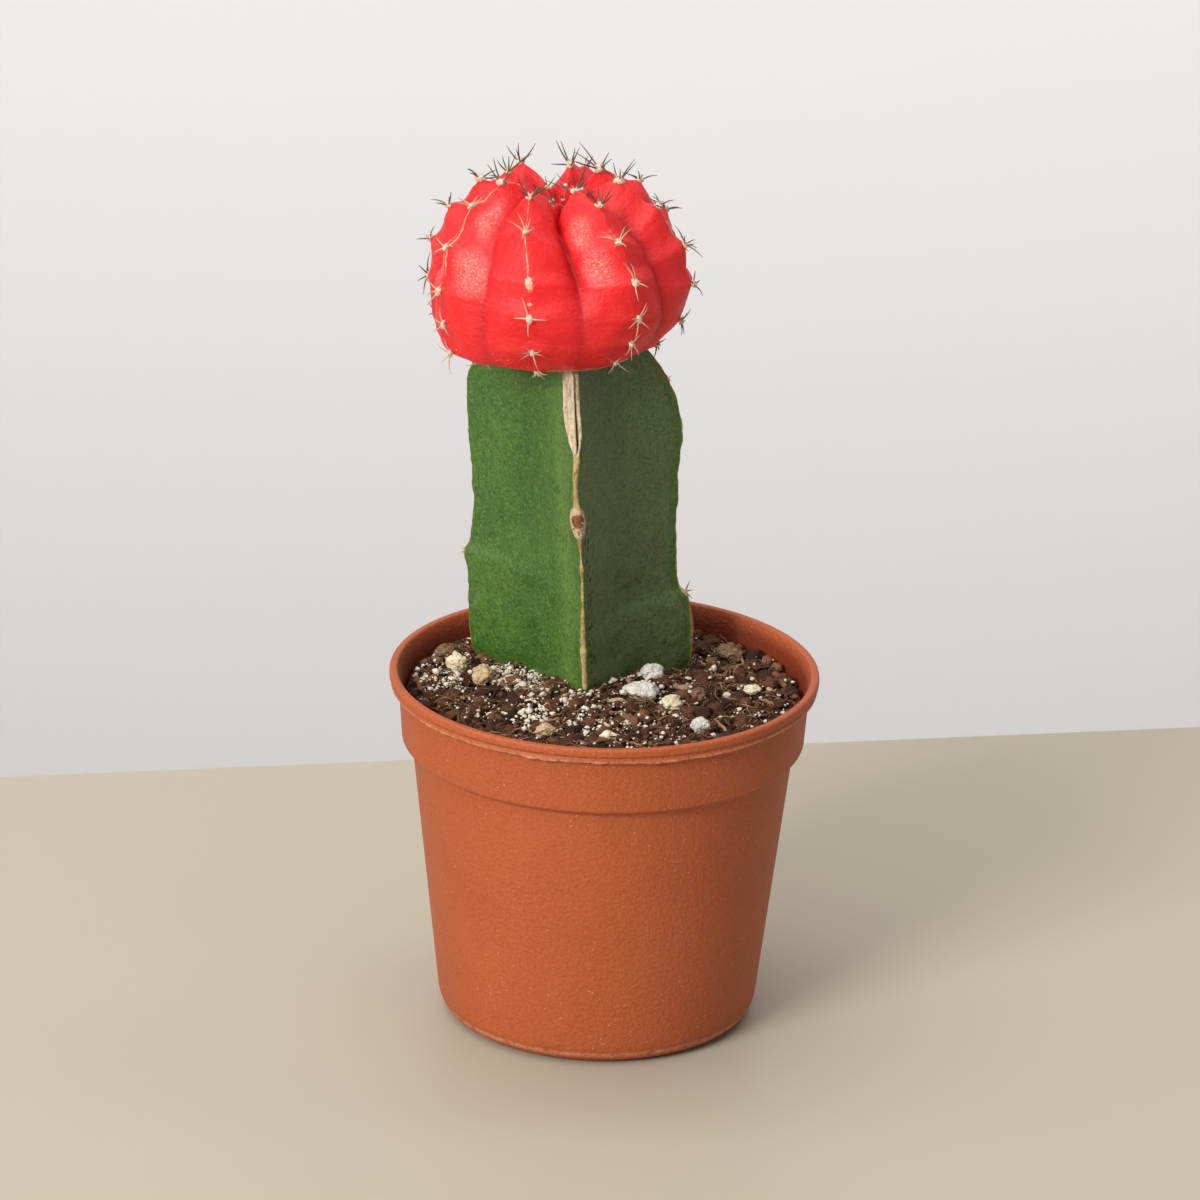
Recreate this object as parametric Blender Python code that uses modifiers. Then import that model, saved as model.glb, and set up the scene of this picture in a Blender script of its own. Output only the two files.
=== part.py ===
"""A potted moon cactus: a red globe cactus grafted on a three-ribbed green stem, growing in a small plastic nursery pot.

Metres, +Z up. The origin is on the pot's axis at the height of its base, and the front of the plant faces -Y.
Dimensions in the constants are millimetres.
"""

import math

import bmesh
import bpy
from mathutils import Matrix, Vector, noise

MM = 0.001
GAP = 0.3  # clearance between pieces that touch

# Pot
POT_STEPS = 48
RIM_R = 32.5
RIM_Z = 55.0
LIP_INNER_R = 31.2
COLLAR_R = 31.0
COLLAR_FOOT_R = 30.45
COLLAR_FOOT_Z = 44.1
WALL_TOP_R = 28.9
WALL_TOP_Z = 43.3
BASE_R = 24.0
BASE_FILLET = 3.0
WALL_T = 0.85
BASE_RECESS = 0.8
DRAIN_R = 2.5
DRAIN_CIRCLE_R = 13.0
DRAIN_COUNT = 4

# Growing mix
SOIL_EDGE_Z = 51.3
SOIL_STEPS = 48

# Rootstock
STOCK_TOP_Z = 104.5
STUB_Z = 29.0
# Rib edges as (height, x), smooth between; the stem leans a little to the left.
LEFT_EDGE = ((29, -16.5), (40, -18.0), (50.5, -19.1), (55, -20.4), (60.5, -21.0), (66, -21.2), (68.6, -21.6), (70.6, -20.7), (76, -20.4), (82, -20.7), (90, -21.6), (97, -21.5), (99.5, -20.9), (102, -19.3), (104.5, -17.2))
RIGHT_EDGE = ((29, 10.5), (40, 12.0), (50.5, 12.9), (55, 13.3), (59, 13.1), (61.4, 12.7), (62.9, 12.0), (64.2, 10.9), (67, 10.4), (75, 10.2), (82, 10.5), (88, 10.9), (92.5, 10.2), (96.5, 8.8), (100.5, 6.6), (104.5, 3.6))
FRONT_EDGE = ((29, -2.6), (53, -2.8), (63, -3.3), (72, -3.6), (78, -4.1), (82, -4.5), (88, -5.0), (92, -4.9), (99, -5.3), (104.5, -5.7))
FRONT_Y = -8.4
LEFT_Y = 13.0
RIGHT_Y = 12.0
FACE_HOLLOW = (1.5, 1.6, 2.6)  # how far the left-front, front-right and back faces are dished
EDGE_HALF = 1.5  # how far from its crest a rib starts to round over
SCAR_FOOT_Z = 92.0  # the healed bevel on the front rib starts here and widens to the top
STOCK_ROWS = 22
FACE_PTS = 7
EDGE_PTS = 3

# Scion
SCION_X = -8.1
SCION_Y = 4.0
SCION_Z = 117.2
SCION_COLUMNS = 64
SCION_ROWS = 25
RIBS = 8
# Azimuth of each rib at the globe's widest part, degrees from the front, positive to the right
RIB_AT = (-12.0, 35.0, 77.0, 120.0, 162.0, 213.0, 257.0, 300.0)
TWIST = (-2.3, 1.2)  # the ribs lean towards a point this far off the globe's axis, at the crown
# Meridians (radius, height from the centre) of a rib's crest and of the furrow between two ribs
CREST = ((0.0, 9.6), (2.2, 10.4), (4.6, 12.8), (7.4, 13.9), (10.6, 13.2), (14.0, 11.0), (17.1, 7.6), (19.3, 3.7), (20.1, 0.0), (19.7, -3.4), (18.2, -6.7), (15.7, -9.6), (13.2, -11.4), (11.2, -12.4))
FURROW = ((0.0, 9.3), (2.0, 9.2), (4.3, 9.4), (7.0, 9.6), (9.8, 9.2), (12.4, 7.7), (14.7, 5.3), (16.4, 2.6), (17.3, 0.0), (17.6, -3.1), (16.7, -6.3), (14.8, -9.2), (12.8, -11.2), (11.2, -12.4))
# Share of that depth in the furrow after each rib: on the upper half, and on the lower half
DEPTHS = ((1.15, 0.35), (0.9, 0.55), (0.95, 0.6), (1.0, 0.6), (1.0, 0.6), (1.0, 0.6), (0.9, 0.55), (0.85, 0.3))
CLEFT = 1.3  # extra depth of the narrow cleft in the furrow after the front rib
# Latitudes of the areoles on each rib, degrees on the globe; each sits on the lip of a tubercle
AREOLES = ((62, 42, 15, -6, -28, -51), (75, 57, 36, 13, -9, -26, -43), (66, 45, 21, -2, -26, -44), (70, 48, 26, 3, -20, -42), (71, 50, 28, 6, -16, -38), (60, 40, 18, -4, -26, -46), (67, 54, 33, 10, -12, -31, -46), (64, 47, 22, -3, -22, -38, -54))
TUBERCLE = 0.95
SAG = 2.5  # the globe hangs this much fuller under its left side

# Pebbles: name, x, y, height of the centre, half sizes, turn in degrees, seed, fineness
PEBBLES = (
    ("pebble_01", -18.4, 0.4, 53.4, (1.75, 1.5, 1.5), 20, 11, 2),
    ("pebble_02", -22.4, 6.2, 53.0, (1.7, 1.4, 1.5), -30, 12, 2),
    ("pebble_03", 7.2, 0.8, 54.4, (1.7, 1.5, 1.3), 15, 13, 2),
    ("pebble_04", 5.6, -6.6, 53.9, (2.65, 1.9, 1.7), -12, 14, 3),
    ("pebble_05", 2.1, -11.0, 53.5, (1.75, 1.3, 1.1), 5, 15, 2),
    ("pebble_06", 10.2, -9.3, 53.4, (1.8, 1.4, 1.3), 30, 16, 2),
    ("pebble_07", 0.6, -24.6, 53.4, (1.4, 1.2, 1.4), 0, 17, 2),
    ("pebble_08", -8.6, -21.6, 53.3, (1.5, 1.3, 1.3), 40, 18, 2),
    ("pebble_09", 14.5, -17.6, 53.3, (1.4, 1.1, 1.2), 10, 19, 2),
    ("pebble_10", 14.2, -5.0, 53.2, (1.1, 1.0, 1.1), 70, 20, 2),
    ("pebble_11", 22.4, 0.0, 52.2, (1.3, 1.0, 0.8), -8, 21, 2),
)
BARK = (
    ("bark_01", -24.0, 11.4, 52.6, (2.1, 1.5, 1.3), 35, 31, 2),
    ("bark_02", 19.2, 16.0, 51.8, (2.4, 1.4, 1.0), -40, 32, 2),
)

for old in list(bpy.data.objects):
    bpy.data.objects.remove(old, do_unlink=True)


def collection(name, hidden=False):
    made = bpy.data.collections.new(name)
    made.hide_render = hidden
    bpy.context.scene.collection.children.link(made)
    return made


PARTS = collection("potted_moon_cactus")
CUTTERS = collection("cutters", True)


def material(name, colour, roughness, subsurface=0.0):
    made = bpy.data.materials.new(name)
    made.use_nodes = True
    shader = made.node_tree.nodes["Principled BSDF"]
    shader.inputs["Base Color"].default_value = (*colour, 1.0)
    shader.inputs["Roughness"].default_value = roughness
    shader.inputs["Metallic"].default_value = 0.0
    shader.inputs["Subsurface Weight"].default_value = subsurface
    made.diffuse_color = (*colour, 1.0)
    return made


TERRACOTTA = material("terracotta_plastic", (0.46, 0.13, 0.045), 0.5)
PEAT = material("peat_mix", (0.06, 0.032, 0.018), 0.95)
GREEN = material("green_stem", (0.035, 0.13, 0.02), 0.5, 0.1)
RED = material("red_globe", (0.8, 0.02, 0.015), 0.35, 0.2)
PERLITE = material("perlite", (0.72, 0.66, 0.52), 0.9)
CHIP = material("bark_chip", (0.2, 0.12, 0.06), 0.9)


def link(name, mesh, mat=None, cutter=False):
    obj = bpy.data.objects.new(name, mesh)
    (CUTTERS if cutter else PARTS).objects.link(obj)
    if cutter:
        obj.hide_render = True
        obj.display_type = "WIRE"
    if mat:
        mesh.materials.append(mat)
    return obj


def smooth(mesh, angle=40):
    mesh.shade_smooth()
    mesh.set_sharp_from_angle(angle=math.radians(angle))


def turned(name, profile, steps, mat=None, cutter=False):
    """A profile of (radius, height) in millimetres, turned round the Z axis and made into a mesh."""
    mesh = bpy.data.meshes.new(name + "_profile")
    mesh.from_pydata([(r * MM, 0, z * MM) for r, z in profile], [(i, i + 1) for i in range(len(profile) - 1)], [])
    guide = bpy.data.objects.new(name + "_profile", mesh)
    CUTTERS.objects.link(guide)
    guide.hide_render = True
    screw = guide.modifiers.new("turn", "SCREW")
    screw.steps = steps
    screw.render_steps = steps
    screw.use_merge_vertices = True
    screw.merge_threshold = 0.00001
    bpy.context.view_layer.update()
    made = bpy.data.meshes.new_from_object(guide.evaluated_get(bpy.context.evaluated_depsgraph_get()))
    bpy.data.objects.remove(guide, do_unlink=True)
    made.name = name
    bm = bmesh.new()
    bm.from_mesh(made)
    bmesh.ops.remove_doubles(bm, verts=bm.verts, dist=0.00001)
    bm.to_mesh(made)
    bm.free()
    return link(name, made, mat, cutter)


def cut(obj, cutter, name):
    boolean = obj.modifiers.new(name, "BOOLEAN")
    boolean.operation = "DIFFERENCE"
    boolean.object = cutter
    boolean.solver = "EXACT"


def spline(points, x):
    """A smooth curve through points sorted by their first value: Catmull-Rom with slopes that don't overshoot."""
    if x <= points[0][0]:
        return points[0][1]
    if x >= points[-1][0]:
        return points[-1][1]
    i = max(k for k in range(len(points) - 1) if points[k][0] <= x)
    slopes = []
    for k in (i, i + 1):
        if k == 0 or k == len(points) - 1:
            a, b = (0, 1) if k == 0 else (k - 1, k)
            slopes.append((points[b][1] - points[a][1]) / (points[b][0] - points[a][0]))
            continue
        before = (points[k][1] - points[k - 1][1]) / (points[k][0] - points[k - 1][0])
        after = (points[k + 1][1] - points[k][1]) / (points[k + 1][0] - points[k][0])
        slopes.append(0.0 if before * after <= 0 else 2 * before * after / (before + after))
    (x0, y0), (x1, y1) = points[i], points[i + 1]
    h = x1 - x0
    t = (x - x0) / h
    return (2 * t**3 - 3 * t**2 + 1) * y0 + (t**3 - 2 * t**2 + t) * h * slopes[0] + (-2 * t**3 + 3 * t**2) * y1 + (t**3 - t**2) * h * slopes[1]


# ---- pot: one thin moulded shell --------------------------------------------------------------------------------------
def arc(cx, cz, r, a0, a1, count):
    return [(cx + r * math.cos(math.radians(a0 + (a1 - a0) * i / count)), cz + r * math.sin(math.radians(a0 + (a1 - a0) * i / count))) for i in range(count + 1)]


def wall_r(z):
    """Outer radius of the tapered wall below the collar."""
    return BASE_R + (WALL_TOP_R - BASE_R) * z / WALL_TOP_Z


STEP_Z = 44.0  # the inside steps out a little above the foot of the collar
pot_profile = [(0, BASE_RECESS + 0.95), (17.0, BASE_RECESS + 0.95)]
pot_profile += arc(wall_r(3.0) - WALL_T - 1.9, 3.1, 1.9, -75, 0, 3)
pot_profile += [
    (wall_r(20) - WALL_T, 20),
    (wall_r(STEP_Z) - WALL_T, STEP_Z),
    (COLLAR_FOOT_R - WALL_T, STEP_Z + 1.0),
    (COLLAR_R - WALL_T, 52.3),
    (LIP_INNER_R - 0.25, 53.6),
    (LIP_INNER_R, RIM_Z - 0.3),
]
pot_profile += arc(RIM_R - 0.55, RIM_Z - 0.55, 0.55, 90, 0, 3)
pot_profile += [
    (RIM_R, 53.6),
    (RIM_R - 0.3, 53.0),
    (COLLAR_R + 0.35, 52.75),
    (COLLAR_R, 52.2),
    (COLLAR_FOOT_R + 0.02, COLLAR_FOOT_Z + 0.4),
    (COLLAR_FOOT_R - 0.25, COLLAR_FOOT_Z),
    (WALL_TOP_R + 0.3, WALL_TOP_Z + 0.2),
    (WALL_TOP_R, WALL_TOP_Z),
    (wall_r(24), 24),
    (wall_r(BASE_FILLET + 0.3), BASE_FILLET + 0.3),
]
pot_profile += arc(wall_r(BASE_FILLET) - BASE_FILLET, BASE_FILLET, BASE_FILLET, 0, -90, 4)[1:]
pot_profile += [(19.3, 0.0), (18.6, BASE_RECESS), (0, BASE_RECESS)]
pot = turned("pot", pot_profile, POT_STEPS, TERRACOTTA)


def drain(name, x, y):
    mesh = bpy.data.meshes.new(name)
    bm = bmesh.new()
    bmesh.ops.create_cone(bm, cap_ends=True, segments=20, radius1=DRAIN_R * MM, radius2=DRAIN_R * MM, depth=6 * MM)
    bm.to_mesh(mesh)
    bm.free()
    made = link(name, mesh, cutter=True)
    made.location = (x * MM, y * MM, 1.0 * MM)
    cut(pot, made, name)


drain("drain_centre", 0.0, 0.0)
for index in range(DRAIN_COUNT):
    turn = math.radians(45 + 360 * index / DRAIN_COUNT)
    drain(f"drain_{index + 1}", DRAIN_CIRCLE_R * math.cos(turn), DRAIN_CIRCLE_R * math.sin(turn))
smooth(pot.data)


# ---- growing mix: fills the pot to just under its lip, heaped round the stem ------------------------------------------
def soil_z(x, y):
    """Height of the surface of the mix."""
    r = math.hypot(x, y)
    z = SOIL_EDGE_Z - 0.7 * (y / 30)
    z += 2.7 * math.exp(-((x + 3) ** 2 + (y + 9) ** 2) / 130)
    z += 1.2 * math.exp(-((x + 12.9) ** 2 + (y - 5.0) ** 2) / 14)
    z += 1.3 * math.exp(-((x - 7) ** 2 + (y - 1) ** 2) / 30)
    z += 1.5 * math.exp(-((x - 4) ** 2 + (y + 24) ** 2) / 160)
    z += 0.9 * math.exp(-((x + 23) ** 2 + (y - 9) ** 2) / 50)
    lumps = noise.noise(Vector((x * 0.33, y * 0.33, 5.0))) + 0.5 * noise.noise(Vector((x * 0.7, y * 0.7, 9.0)))
    return z + 0.75 * lumps * (1 - 0.5 * (r / 30) ** 4)


def inner_r(z):
    """Inner radius of the pot at a height, less the clearance."""
    if z > STEP_Z + 1:
        return COLLAR_FOOT_R - WALL_T + (COLLAR_R - COLLAR_FOOT_R) * (z - STEP_Z - 1) / 7.3 - GAP
    return wall_r(z) - WALL_T - GAP


soil_floor = BASE_RECESS + 0.95 + GAP
soil_profile = [(0, 50)]
soil_profile += [(r, 50) for r in (4, 8, 12, 16, 20, 24, 27)]
soil_profile += [(inner_r(50.0), 50), (inner_r(STEP_Z + 1.3), STEP_Z + 1.3), (inner_r(STEP_Z - 0.3), STEP_Z - 0.3), (inner_r(20), 20)]
soil_profile += [(x - GAP * math.cos(math.radians(a)), z - GAP * math.sin(math.radians(a))) for (x, z), a in zip(arc(wall_r(3.0) - WALL_T - 1.9, 3.1, 1.9, 0, -75, 3), (0, -25, -50, -75))]
soil_profile += [(17.0, soil_floor + 0.05), (0, soil_floor + 0.05)]
soil = turned("soil", soil_profile, SOIL_STEPS, PEAT)
for vertex in soil.data.vertices:
    if vertex.co.z > 49.9 * MM:
        x, y = vertex.co.x / MM, vertex.co.y / MM
        vertex.co.z = soil_z(x, y) * MM


# ---- rootstock: three ribs with dished faces between, one piece with its buried stub and roots ------------------------
def rib_crests(z):
    """Where the crests of the left, front and right ribs are at a height, as (x, y)."""
    scar = max(0.0, (z - SCAR_FOOT_Z) / (STOCK_TOP_Z - SCAR_FOOT_Z))
    node = math.exp(-(((z - 81.4) / 1.3) ** 2))
    shaved = max(0.0, (z - 97.0) / (STOCK_TOP_Z - 97.0))
    left = Vector((spline(LEFT_EDGE, z), LEFT_Y - 1.6 * shaved))
    front = Vector((spline(FRONT_EDGE, z), FRONT_Y - 0.5 * node + 1.5 * scar))
    right = Vector((spline(RIGHT_EDGE, z), RIGHT_Y - 1.8 * shaved))
    return left, front, right


def section(z, grow=0.0):
    """The stem's outline at a height, counter-clockwise from above, moved outwards by grow."""
    crests = rib_crests(z)
    scar = max(0.0, (z - SCAR_FOOT_Z) / (STOCK_TOP_Z - SCAR_FOOT_Z))
    halves = (EDGE_HALF, EDGE_HALF + 0.5 * scar, EDGE_HALF)
    faces = []
    for i in range(3):
        a, b = crests[i], crests[(i + 1) % 3]
        along = b - a
        length = along.length
        inward = Vector((-along.y, along.x)) / length
        points = []
        for k in range(FACE_PTS):
            low, high = halves[i] / length, 1 - halves[(i + 1) % 3] / length
            t = low + (high - low) * (0.5 - 0.5 * math.cos(math.pi * k / (FACE_PTS - 1)))
            points.append(a + along * t + inward * FACE_HOLLOW[i] * math.sin(math.pi * t) ** 1.6)
        faces.append(points)
    outline = []
    for i in range(3):
        outline += faces[i]
        start, end = faces[i][-1], faces[(i + 1) % 3][0]
        crest = crests[(i + 1) % 3]
        middle = (start + end) / 2
        control = middle + (crest - middle) * 2
        for k in range(1, EDGE_PTS + 1):
            t = k / (EDGE_PTS + 1)
            outline.append(start * (1 - t) ** 2 + control * 2 * t * (1 - t) + end * t**2)
    if grow:
        count = len(outline)
        moved = []
        for k in range(count):
            along = outline[(k + 1) % count] - outline[k - 1]
            moved.append(outline[k] + Vector((along.y, -along.x)).normalized() * grow)
        outline = moved
    return outline


def stem(name, grow=0.0, top=STOCK_TOP_Z):
    """A loft of the sections, with the buried end drawn in to a rounded stub."""
    heights = [STUB_Z - grow, STUB_Z + 1.0, STUB_Z + 2.6, STUB_Z + 5.5, 42.0]
    above = STOCK_ROWS - len(heights)
    heights += [48 + (top - 48) * k / (above - 1) for k in range(above)]
    shrink = (0.42, 0.62, 0.78, 0.92, 1.0)
    bm = bmesh.new()
    rings = []
    for row, z in enumerate(heights):
        outline = section(min(z, STOCK_TOP_Z), grow)
        if row < len(shrink):
            centre = sum(outline, Vector((0, 0))) / len(outline)
            outline = [centre + (p - centre) * shrink[row] for p in outline]
        rings.append([bm.verts.new((p.x * MM, p.y * MM, z * MM)) for p in outline])
    count = len(rings[0])
    for lower, upper in zip(rings, rings[1:]):
        for k in range(count):
            bm.faces.new((lower[k], lower[(k + 1) % count], upper[(k + 1) % count], upper[k]))
    bm.faces.new(reversed(rings[0]))
    bm.faces.new(rings[-1])
    bmesh.ops.recalc_face_normals(bm, faces=bm.faces)
    mesh = bpy.data.meshes.new(name)
    bm.to_mesh(mesh)
    bm.free()
    return mesh


def root(name, turn, reach, drop, thick, grow=0.0):
    """A tapering root that leaves the stub and bends downwards."""
    bm = bmesh.new()
    rings = []
    count, sides = 6, 7
    for k in range(count):
        t = k / (count - 1)
        away = 3.0 + (reach - 3.0) * t
        centre = Vector((-3.0 + away * math.cos(turn), 4.5 + away * math.sin(turn), STUB_Z + 5.0 - drop * t**1.5))
        ahead = Vector((math.cos(turn) * (reach - 3.0), math.sin(turn) * (reach - 3.0), -1.5 * drop * max(t, 0.02) ** 0.5)).normalized()
        side = ahead.cross(Vector((0, 0, 1))).normalized()
        up = side.cross(ahead)
        r = thick * (1 - 0.62 * t) + grow
        centre += ahead * (grow * (1 if k == count - 1 else -1 if k == 0 else 0))
        rings.append([bm.verts.new((centre + side * r * math.cos(2 * math.pi * s / sides) + up * r * math.sin(2 * math.pi * s / sides)) * MM) for s in range(sides)])
    for lower, upper in zip(rings, rings[1:]):
        for s in range(sides):
            bm.faces.new((lower[s], lower[(s + 1) % sides], upper[(s + 1) % sides], upper[s]))
    bm.faces.new(reversed(rings[0]))
    bm.faces.new(rings[-1])
    bmesh.ops.recalc_face_normals(bm, faces=bm.faces)
    mesh = bpy.data.meshes.new(name)
    bm.to_mesh(mesh)
    bm.free()
    return mesh


stock = link("stock", stem("stock"), GREEN)
smooth(stock.data, 50)
cut(soil, link("stock_room", stem("stock_room", GAP, STOCK_TOP_Z), cutter=True), "stock_room")
ROOTS = ((0.35, 14.0, 15.0, 1.5), (1.55, 13.0, 17.0, 1.2), (2.75, 13.5, 14.0, 1.6), (4.0, 14.5, 16.0, 1.3), (5.2, 15.0, 13.5, 1.5))
for index, (turn, reach, drop, thick) in enumerate(ROOTS):
    piece = link(f"root_{index + 1}", root(f"root_{index + 1}", turn, reach, drop, thick), cutter=True)
    joined = stock.modifiers.new(piece.name, "BOOLEAN")
    joined.operation = "UNION"
    joined.object = piece
    joined.solver = "EXACT"
    room = link(f"root_room_{index + 1}", root(f"root_room_{index + 1}", turn, reach, drop, thick, GAP), cutter=True)
    cut(soil, room, room.name)


# ---- scion: a ribbed globe with a sunken crown, cut flat where it is grafted ------------------------------------------
def meridian(points, u):
    """A point on a meridian given as evenly numbered points, u from 0 at the crown to 1 at the cut face."""
    indexed_r = [(k, p[0]) for k, p in enumerate(points)]
    indexed_z = [(k, p[1]) for k, p in enumerate(points)]
    at = u * (len(points) - 1)
    return spline(indexed_r, at), spline(indexed_z, at)


def ease(a, b, x):
    """0 at a, 1 at b, smooth between; a may exceed b."""
    t = max(0.0, min(1.0, (x - a) / (b - a)))
    return t * t * (3 - 2 * t)


def tubercles(rib, latitude):
    """Swell along a rib: 1 on each tubercle's lip, falling gently below it and rising steeply to the next one."""
    steps = sorted(AREOLES[rib])
    knots = [(-90, 0.0), (steps[0] - 13, 0.0)]
    for low, high in zip(steps, steps[1:]):
        knots += [(low, 1.0), (low + 0.38 * (high - low), 0.0)]
    knots += [(steps[-1], 1.0), (steps[-1] + 9, 0.15), (90.5, 0.0)]
    return 1 - max(0.0, 1 - spline(knots, latitude)) ** 0.75


def scion_point(place, u):
    """A point of the globe's skin: place is a rib's number on its crest and a half in a furrow, u runs from the crown (0) to the cut face (1)."""
    rib = math.floor(place + 0.5)
    side = 2 * (place - rib)
    across = abs(side)
    furrow = (rib - 1 if side < 0 else rib) % RIBS
    outer, inner = meridian(CREST, u), meridian(FURROW, u)
    latitude = math.degrees(math.atan2(outer[1] / 14.5, outer[0] / 20.1))
    above, below = DEPTHS[furrow]
    fall = across ** (1.25 + 0.7 * ease(0.55, 0.9, u)) * (above + (below - above) * ease(0.5, 0.8, u))
    r = outer[0] + (inner[0] - outer[0]) * fall
    z = outer[1] + (inner[1] - outer[1]) * fall
    # above the widest part a tubercle's lip runs right across the rib, below it only the crest swells
    narrow = 1 - 0.8 * across**1.5
    narrow += (0.8 * math.exp(-((across / 0.35) ** 2)) - narrow) * ease(8, -10, latitude)
    bump = TUBERCLE * (tubercles(rib % RIBS, latitude) - 0.75) * narrow * min(1.0, 6 * u) * min(1.0, 8 * (1 - u))
    if furrow == 0:
        bump -= CLEFT * math.exp(-(((1 - across) / 0.14) ** 2)) * ease(-12, 22, latitude) * min(1.0, 6 * u)
    r += bump * math.cos(math.radians(latitude))
    z += bump * math.sin(math.radians(latitude))
    low = math.floor(place)
    ends = RIB_AT[low % RIBS], RIB_AT[(low + 1) % RIBS] + (360 if low % RIBS == RIBS - 1 else 0)
    turn = math.radians(ends[0] + (ends[1] - ends[0]) * (place - low))
    lean = 0.65 + 0.35 * math.cos(turn)
    turn += lean * (TWIST[0] * math.cos(turn) + TWIST[1] * math.sin(turn)) / max(outer[0], 7.0) * ease(0, 60, latitude)
    away = (math.degrees(turn) + 75 + 180) % 360 - 180
    sag = SAG * math.exp(-((away / 50) ** 2)) * ease(-12, -42, latitude) * min(1.0, 8 * (1 - u))
    r += 0.75 * sag
    z -= 0.66 * sag
    return Vector((SCION_X + r * math.sin(turn), SCION_Y - r * math.cos(turn), SCION_Z + z))


scion_mesh = bpy.data.meshes.new("scion")
bm = bmesh.new()
bmesh.ops.create_uvsphere(bm, u_segments=SCION_COLUMNS, v_segments=SCION_ROWS, radius=1.0)
for vertex in bm.verts:
    polar = math.degrees(math.acos(max(-1.0, min(1.0, vertex.co.z))))
    row = polar / (180 / SCION_ROWS)
    place = round(math.atan2(vertex.co.x, -vertex.co.y) / (2 * math.pi) * SCION_COLUMNS) * RIBS / SCION_COLUMNS
    if row > SCION_ROWS - 0.5:
        vertex.co = Vector((SCION_X, SCION_Y, STOCK_TOP_Z + GAP)) * MM
    else:
        point = scion_point(place, row / (SCION_ROWS - 1))
        if row > SCION_ROWS - 1.5:
            point.z = STOCK_TOP_Z + GAP
        vertex.co = point * MM
bmesh.ops.recalc_face_normals(bm, faces=bm.faces)
bm.to_mesh(scion_mesh)
bm.free()
scion = link("scion", scion_mesh, RED)
smooth(scion_mesh, 60)


# ---- pebbles and bark chips, half sunk in the mix ---------------------------------------------------------------------
def stone(name, half, seed, fineness, grow=0.0, flat=0.28):
    """A rough rounded lump: an icosphere pushed in and out by seeded noise."""
    bm = bmesh.new()
    bmesh.ops.create_icosphere(bm, subdivisions=fineness, radius=1.0)
    for vertex in bm.verts:
        way = vertex.co.normalized()
        rough = 1 + flat * noise.noise(way * 1.3 + Vector((seed * 3.7, seed * 1.9, 0))) + 0.12 * noise.noise(way * 3.1 + Vector((0, seed * 2.3, seed)))
        vertex.co = Vector([way[k] * (half[k] * rough + grow) * MM for k in range(3)])
    mesh = bpy.data.meshes.new(name)
    bm.to_mesh(mesh)
    bm.free()
    return mesh


for group, mat in ((PEBBLES, PERLITE), (BARK, CHIP)):
    for name, x, y, z, half, turn, seed, fineness in group:
        room = link(name + "_room", stone(name + "_room", half, seed, fineness, GAP), cutter=True)
        piece = link(name, stone(name, half, seed, fineness), mat)
        smooth(piece.data, 50)
        for obj in (room, piece):
            obj.location = (x * MM, y * MM, z * MM)
            obj.rotation_euler = (0.0, 0.0, math.radians(turn))
        cut(soil, room, room.name)
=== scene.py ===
"""A potted moon cactus: the finished look of each piece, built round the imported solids.

Lengths in the shape functions are millimetres and become metres when a mesh is made.
"""

import math
import random

import bmesh
import bpy
import numpy as np
from mathutils import Matrix, Vector, noise


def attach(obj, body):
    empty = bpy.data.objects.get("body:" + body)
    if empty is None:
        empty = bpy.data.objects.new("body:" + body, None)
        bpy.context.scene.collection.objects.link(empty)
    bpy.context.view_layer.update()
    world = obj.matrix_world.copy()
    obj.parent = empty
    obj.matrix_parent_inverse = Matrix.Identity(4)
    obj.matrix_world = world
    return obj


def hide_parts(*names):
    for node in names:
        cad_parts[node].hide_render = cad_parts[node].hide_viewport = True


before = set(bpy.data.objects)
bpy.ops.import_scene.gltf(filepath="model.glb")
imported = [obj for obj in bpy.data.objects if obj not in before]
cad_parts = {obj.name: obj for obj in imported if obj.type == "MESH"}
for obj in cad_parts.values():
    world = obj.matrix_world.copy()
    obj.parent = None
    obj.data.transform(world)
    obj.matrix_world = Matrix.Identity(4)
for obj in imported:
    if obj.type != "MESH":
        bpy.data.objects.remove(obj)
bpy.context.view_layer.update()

MM = 0.001


# =====================================================================================================================
# Helpers
# =====================================================================================================================
def spline(points, x):
    """A smooth curve through points sorted by their first value, without overshoot. x may be an array."""
    xs = np.array([p[0] for p in points], float)
    ys = np.array([p[1] for p in points], float)
    step = np.diff(xs)
    slope = np.diff(ys) / step
    m = np.zeros(len(xs))
    m[0], m[-1] = slope[0], slope[-1]
    for k in range(1, len(xs) - 1):
        a, b = slope[k - 1], slope[k]
        m[k] = 0.0 if a * b <= 0 else 2 * a * b / (a + b)
    x = np.clip(np.asarray(x, float), xs[0], xs[-1])
    i = np.clip(np.searchsorted(xs, x, side="right") - 1, 0, len(xs) - 2)
    h = step[i]
    t = (x - xs[i]) / h
    return (2 * t**3 - 3 * t**2 + 1) * ys[i] + (t**3 - 2 * t**2 + t) * h * m[i] + (-2 * t**3 + 3 * t**2) * ys[i + 1] + (t**3 - t**2) * h * m[i + 1]


def noise_at(points, scale, shift=(0, 0, 0), octaves=1):
    """Perlin noise at each point (millimetres), about -0.6 to 0.6."""
    out = np.zeros(len(points))
    gain = 1.0
    for octave in range(octaves):
        s = scale * 2**octave
        out += gain * np.array([noise.noise((p[0] * s + shift[0], p[1] * s + shift[1], p[2] * s + shift[2] + 17.3 * octave)) for p in points])
        gain *= 0.5
    return out


def smoothstep(a, b, x):
    t = np.clip((np.asarray(x, float) - a) / (b - a), 0, 1)
    return t * t * (3 - 2 * t)


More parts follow.
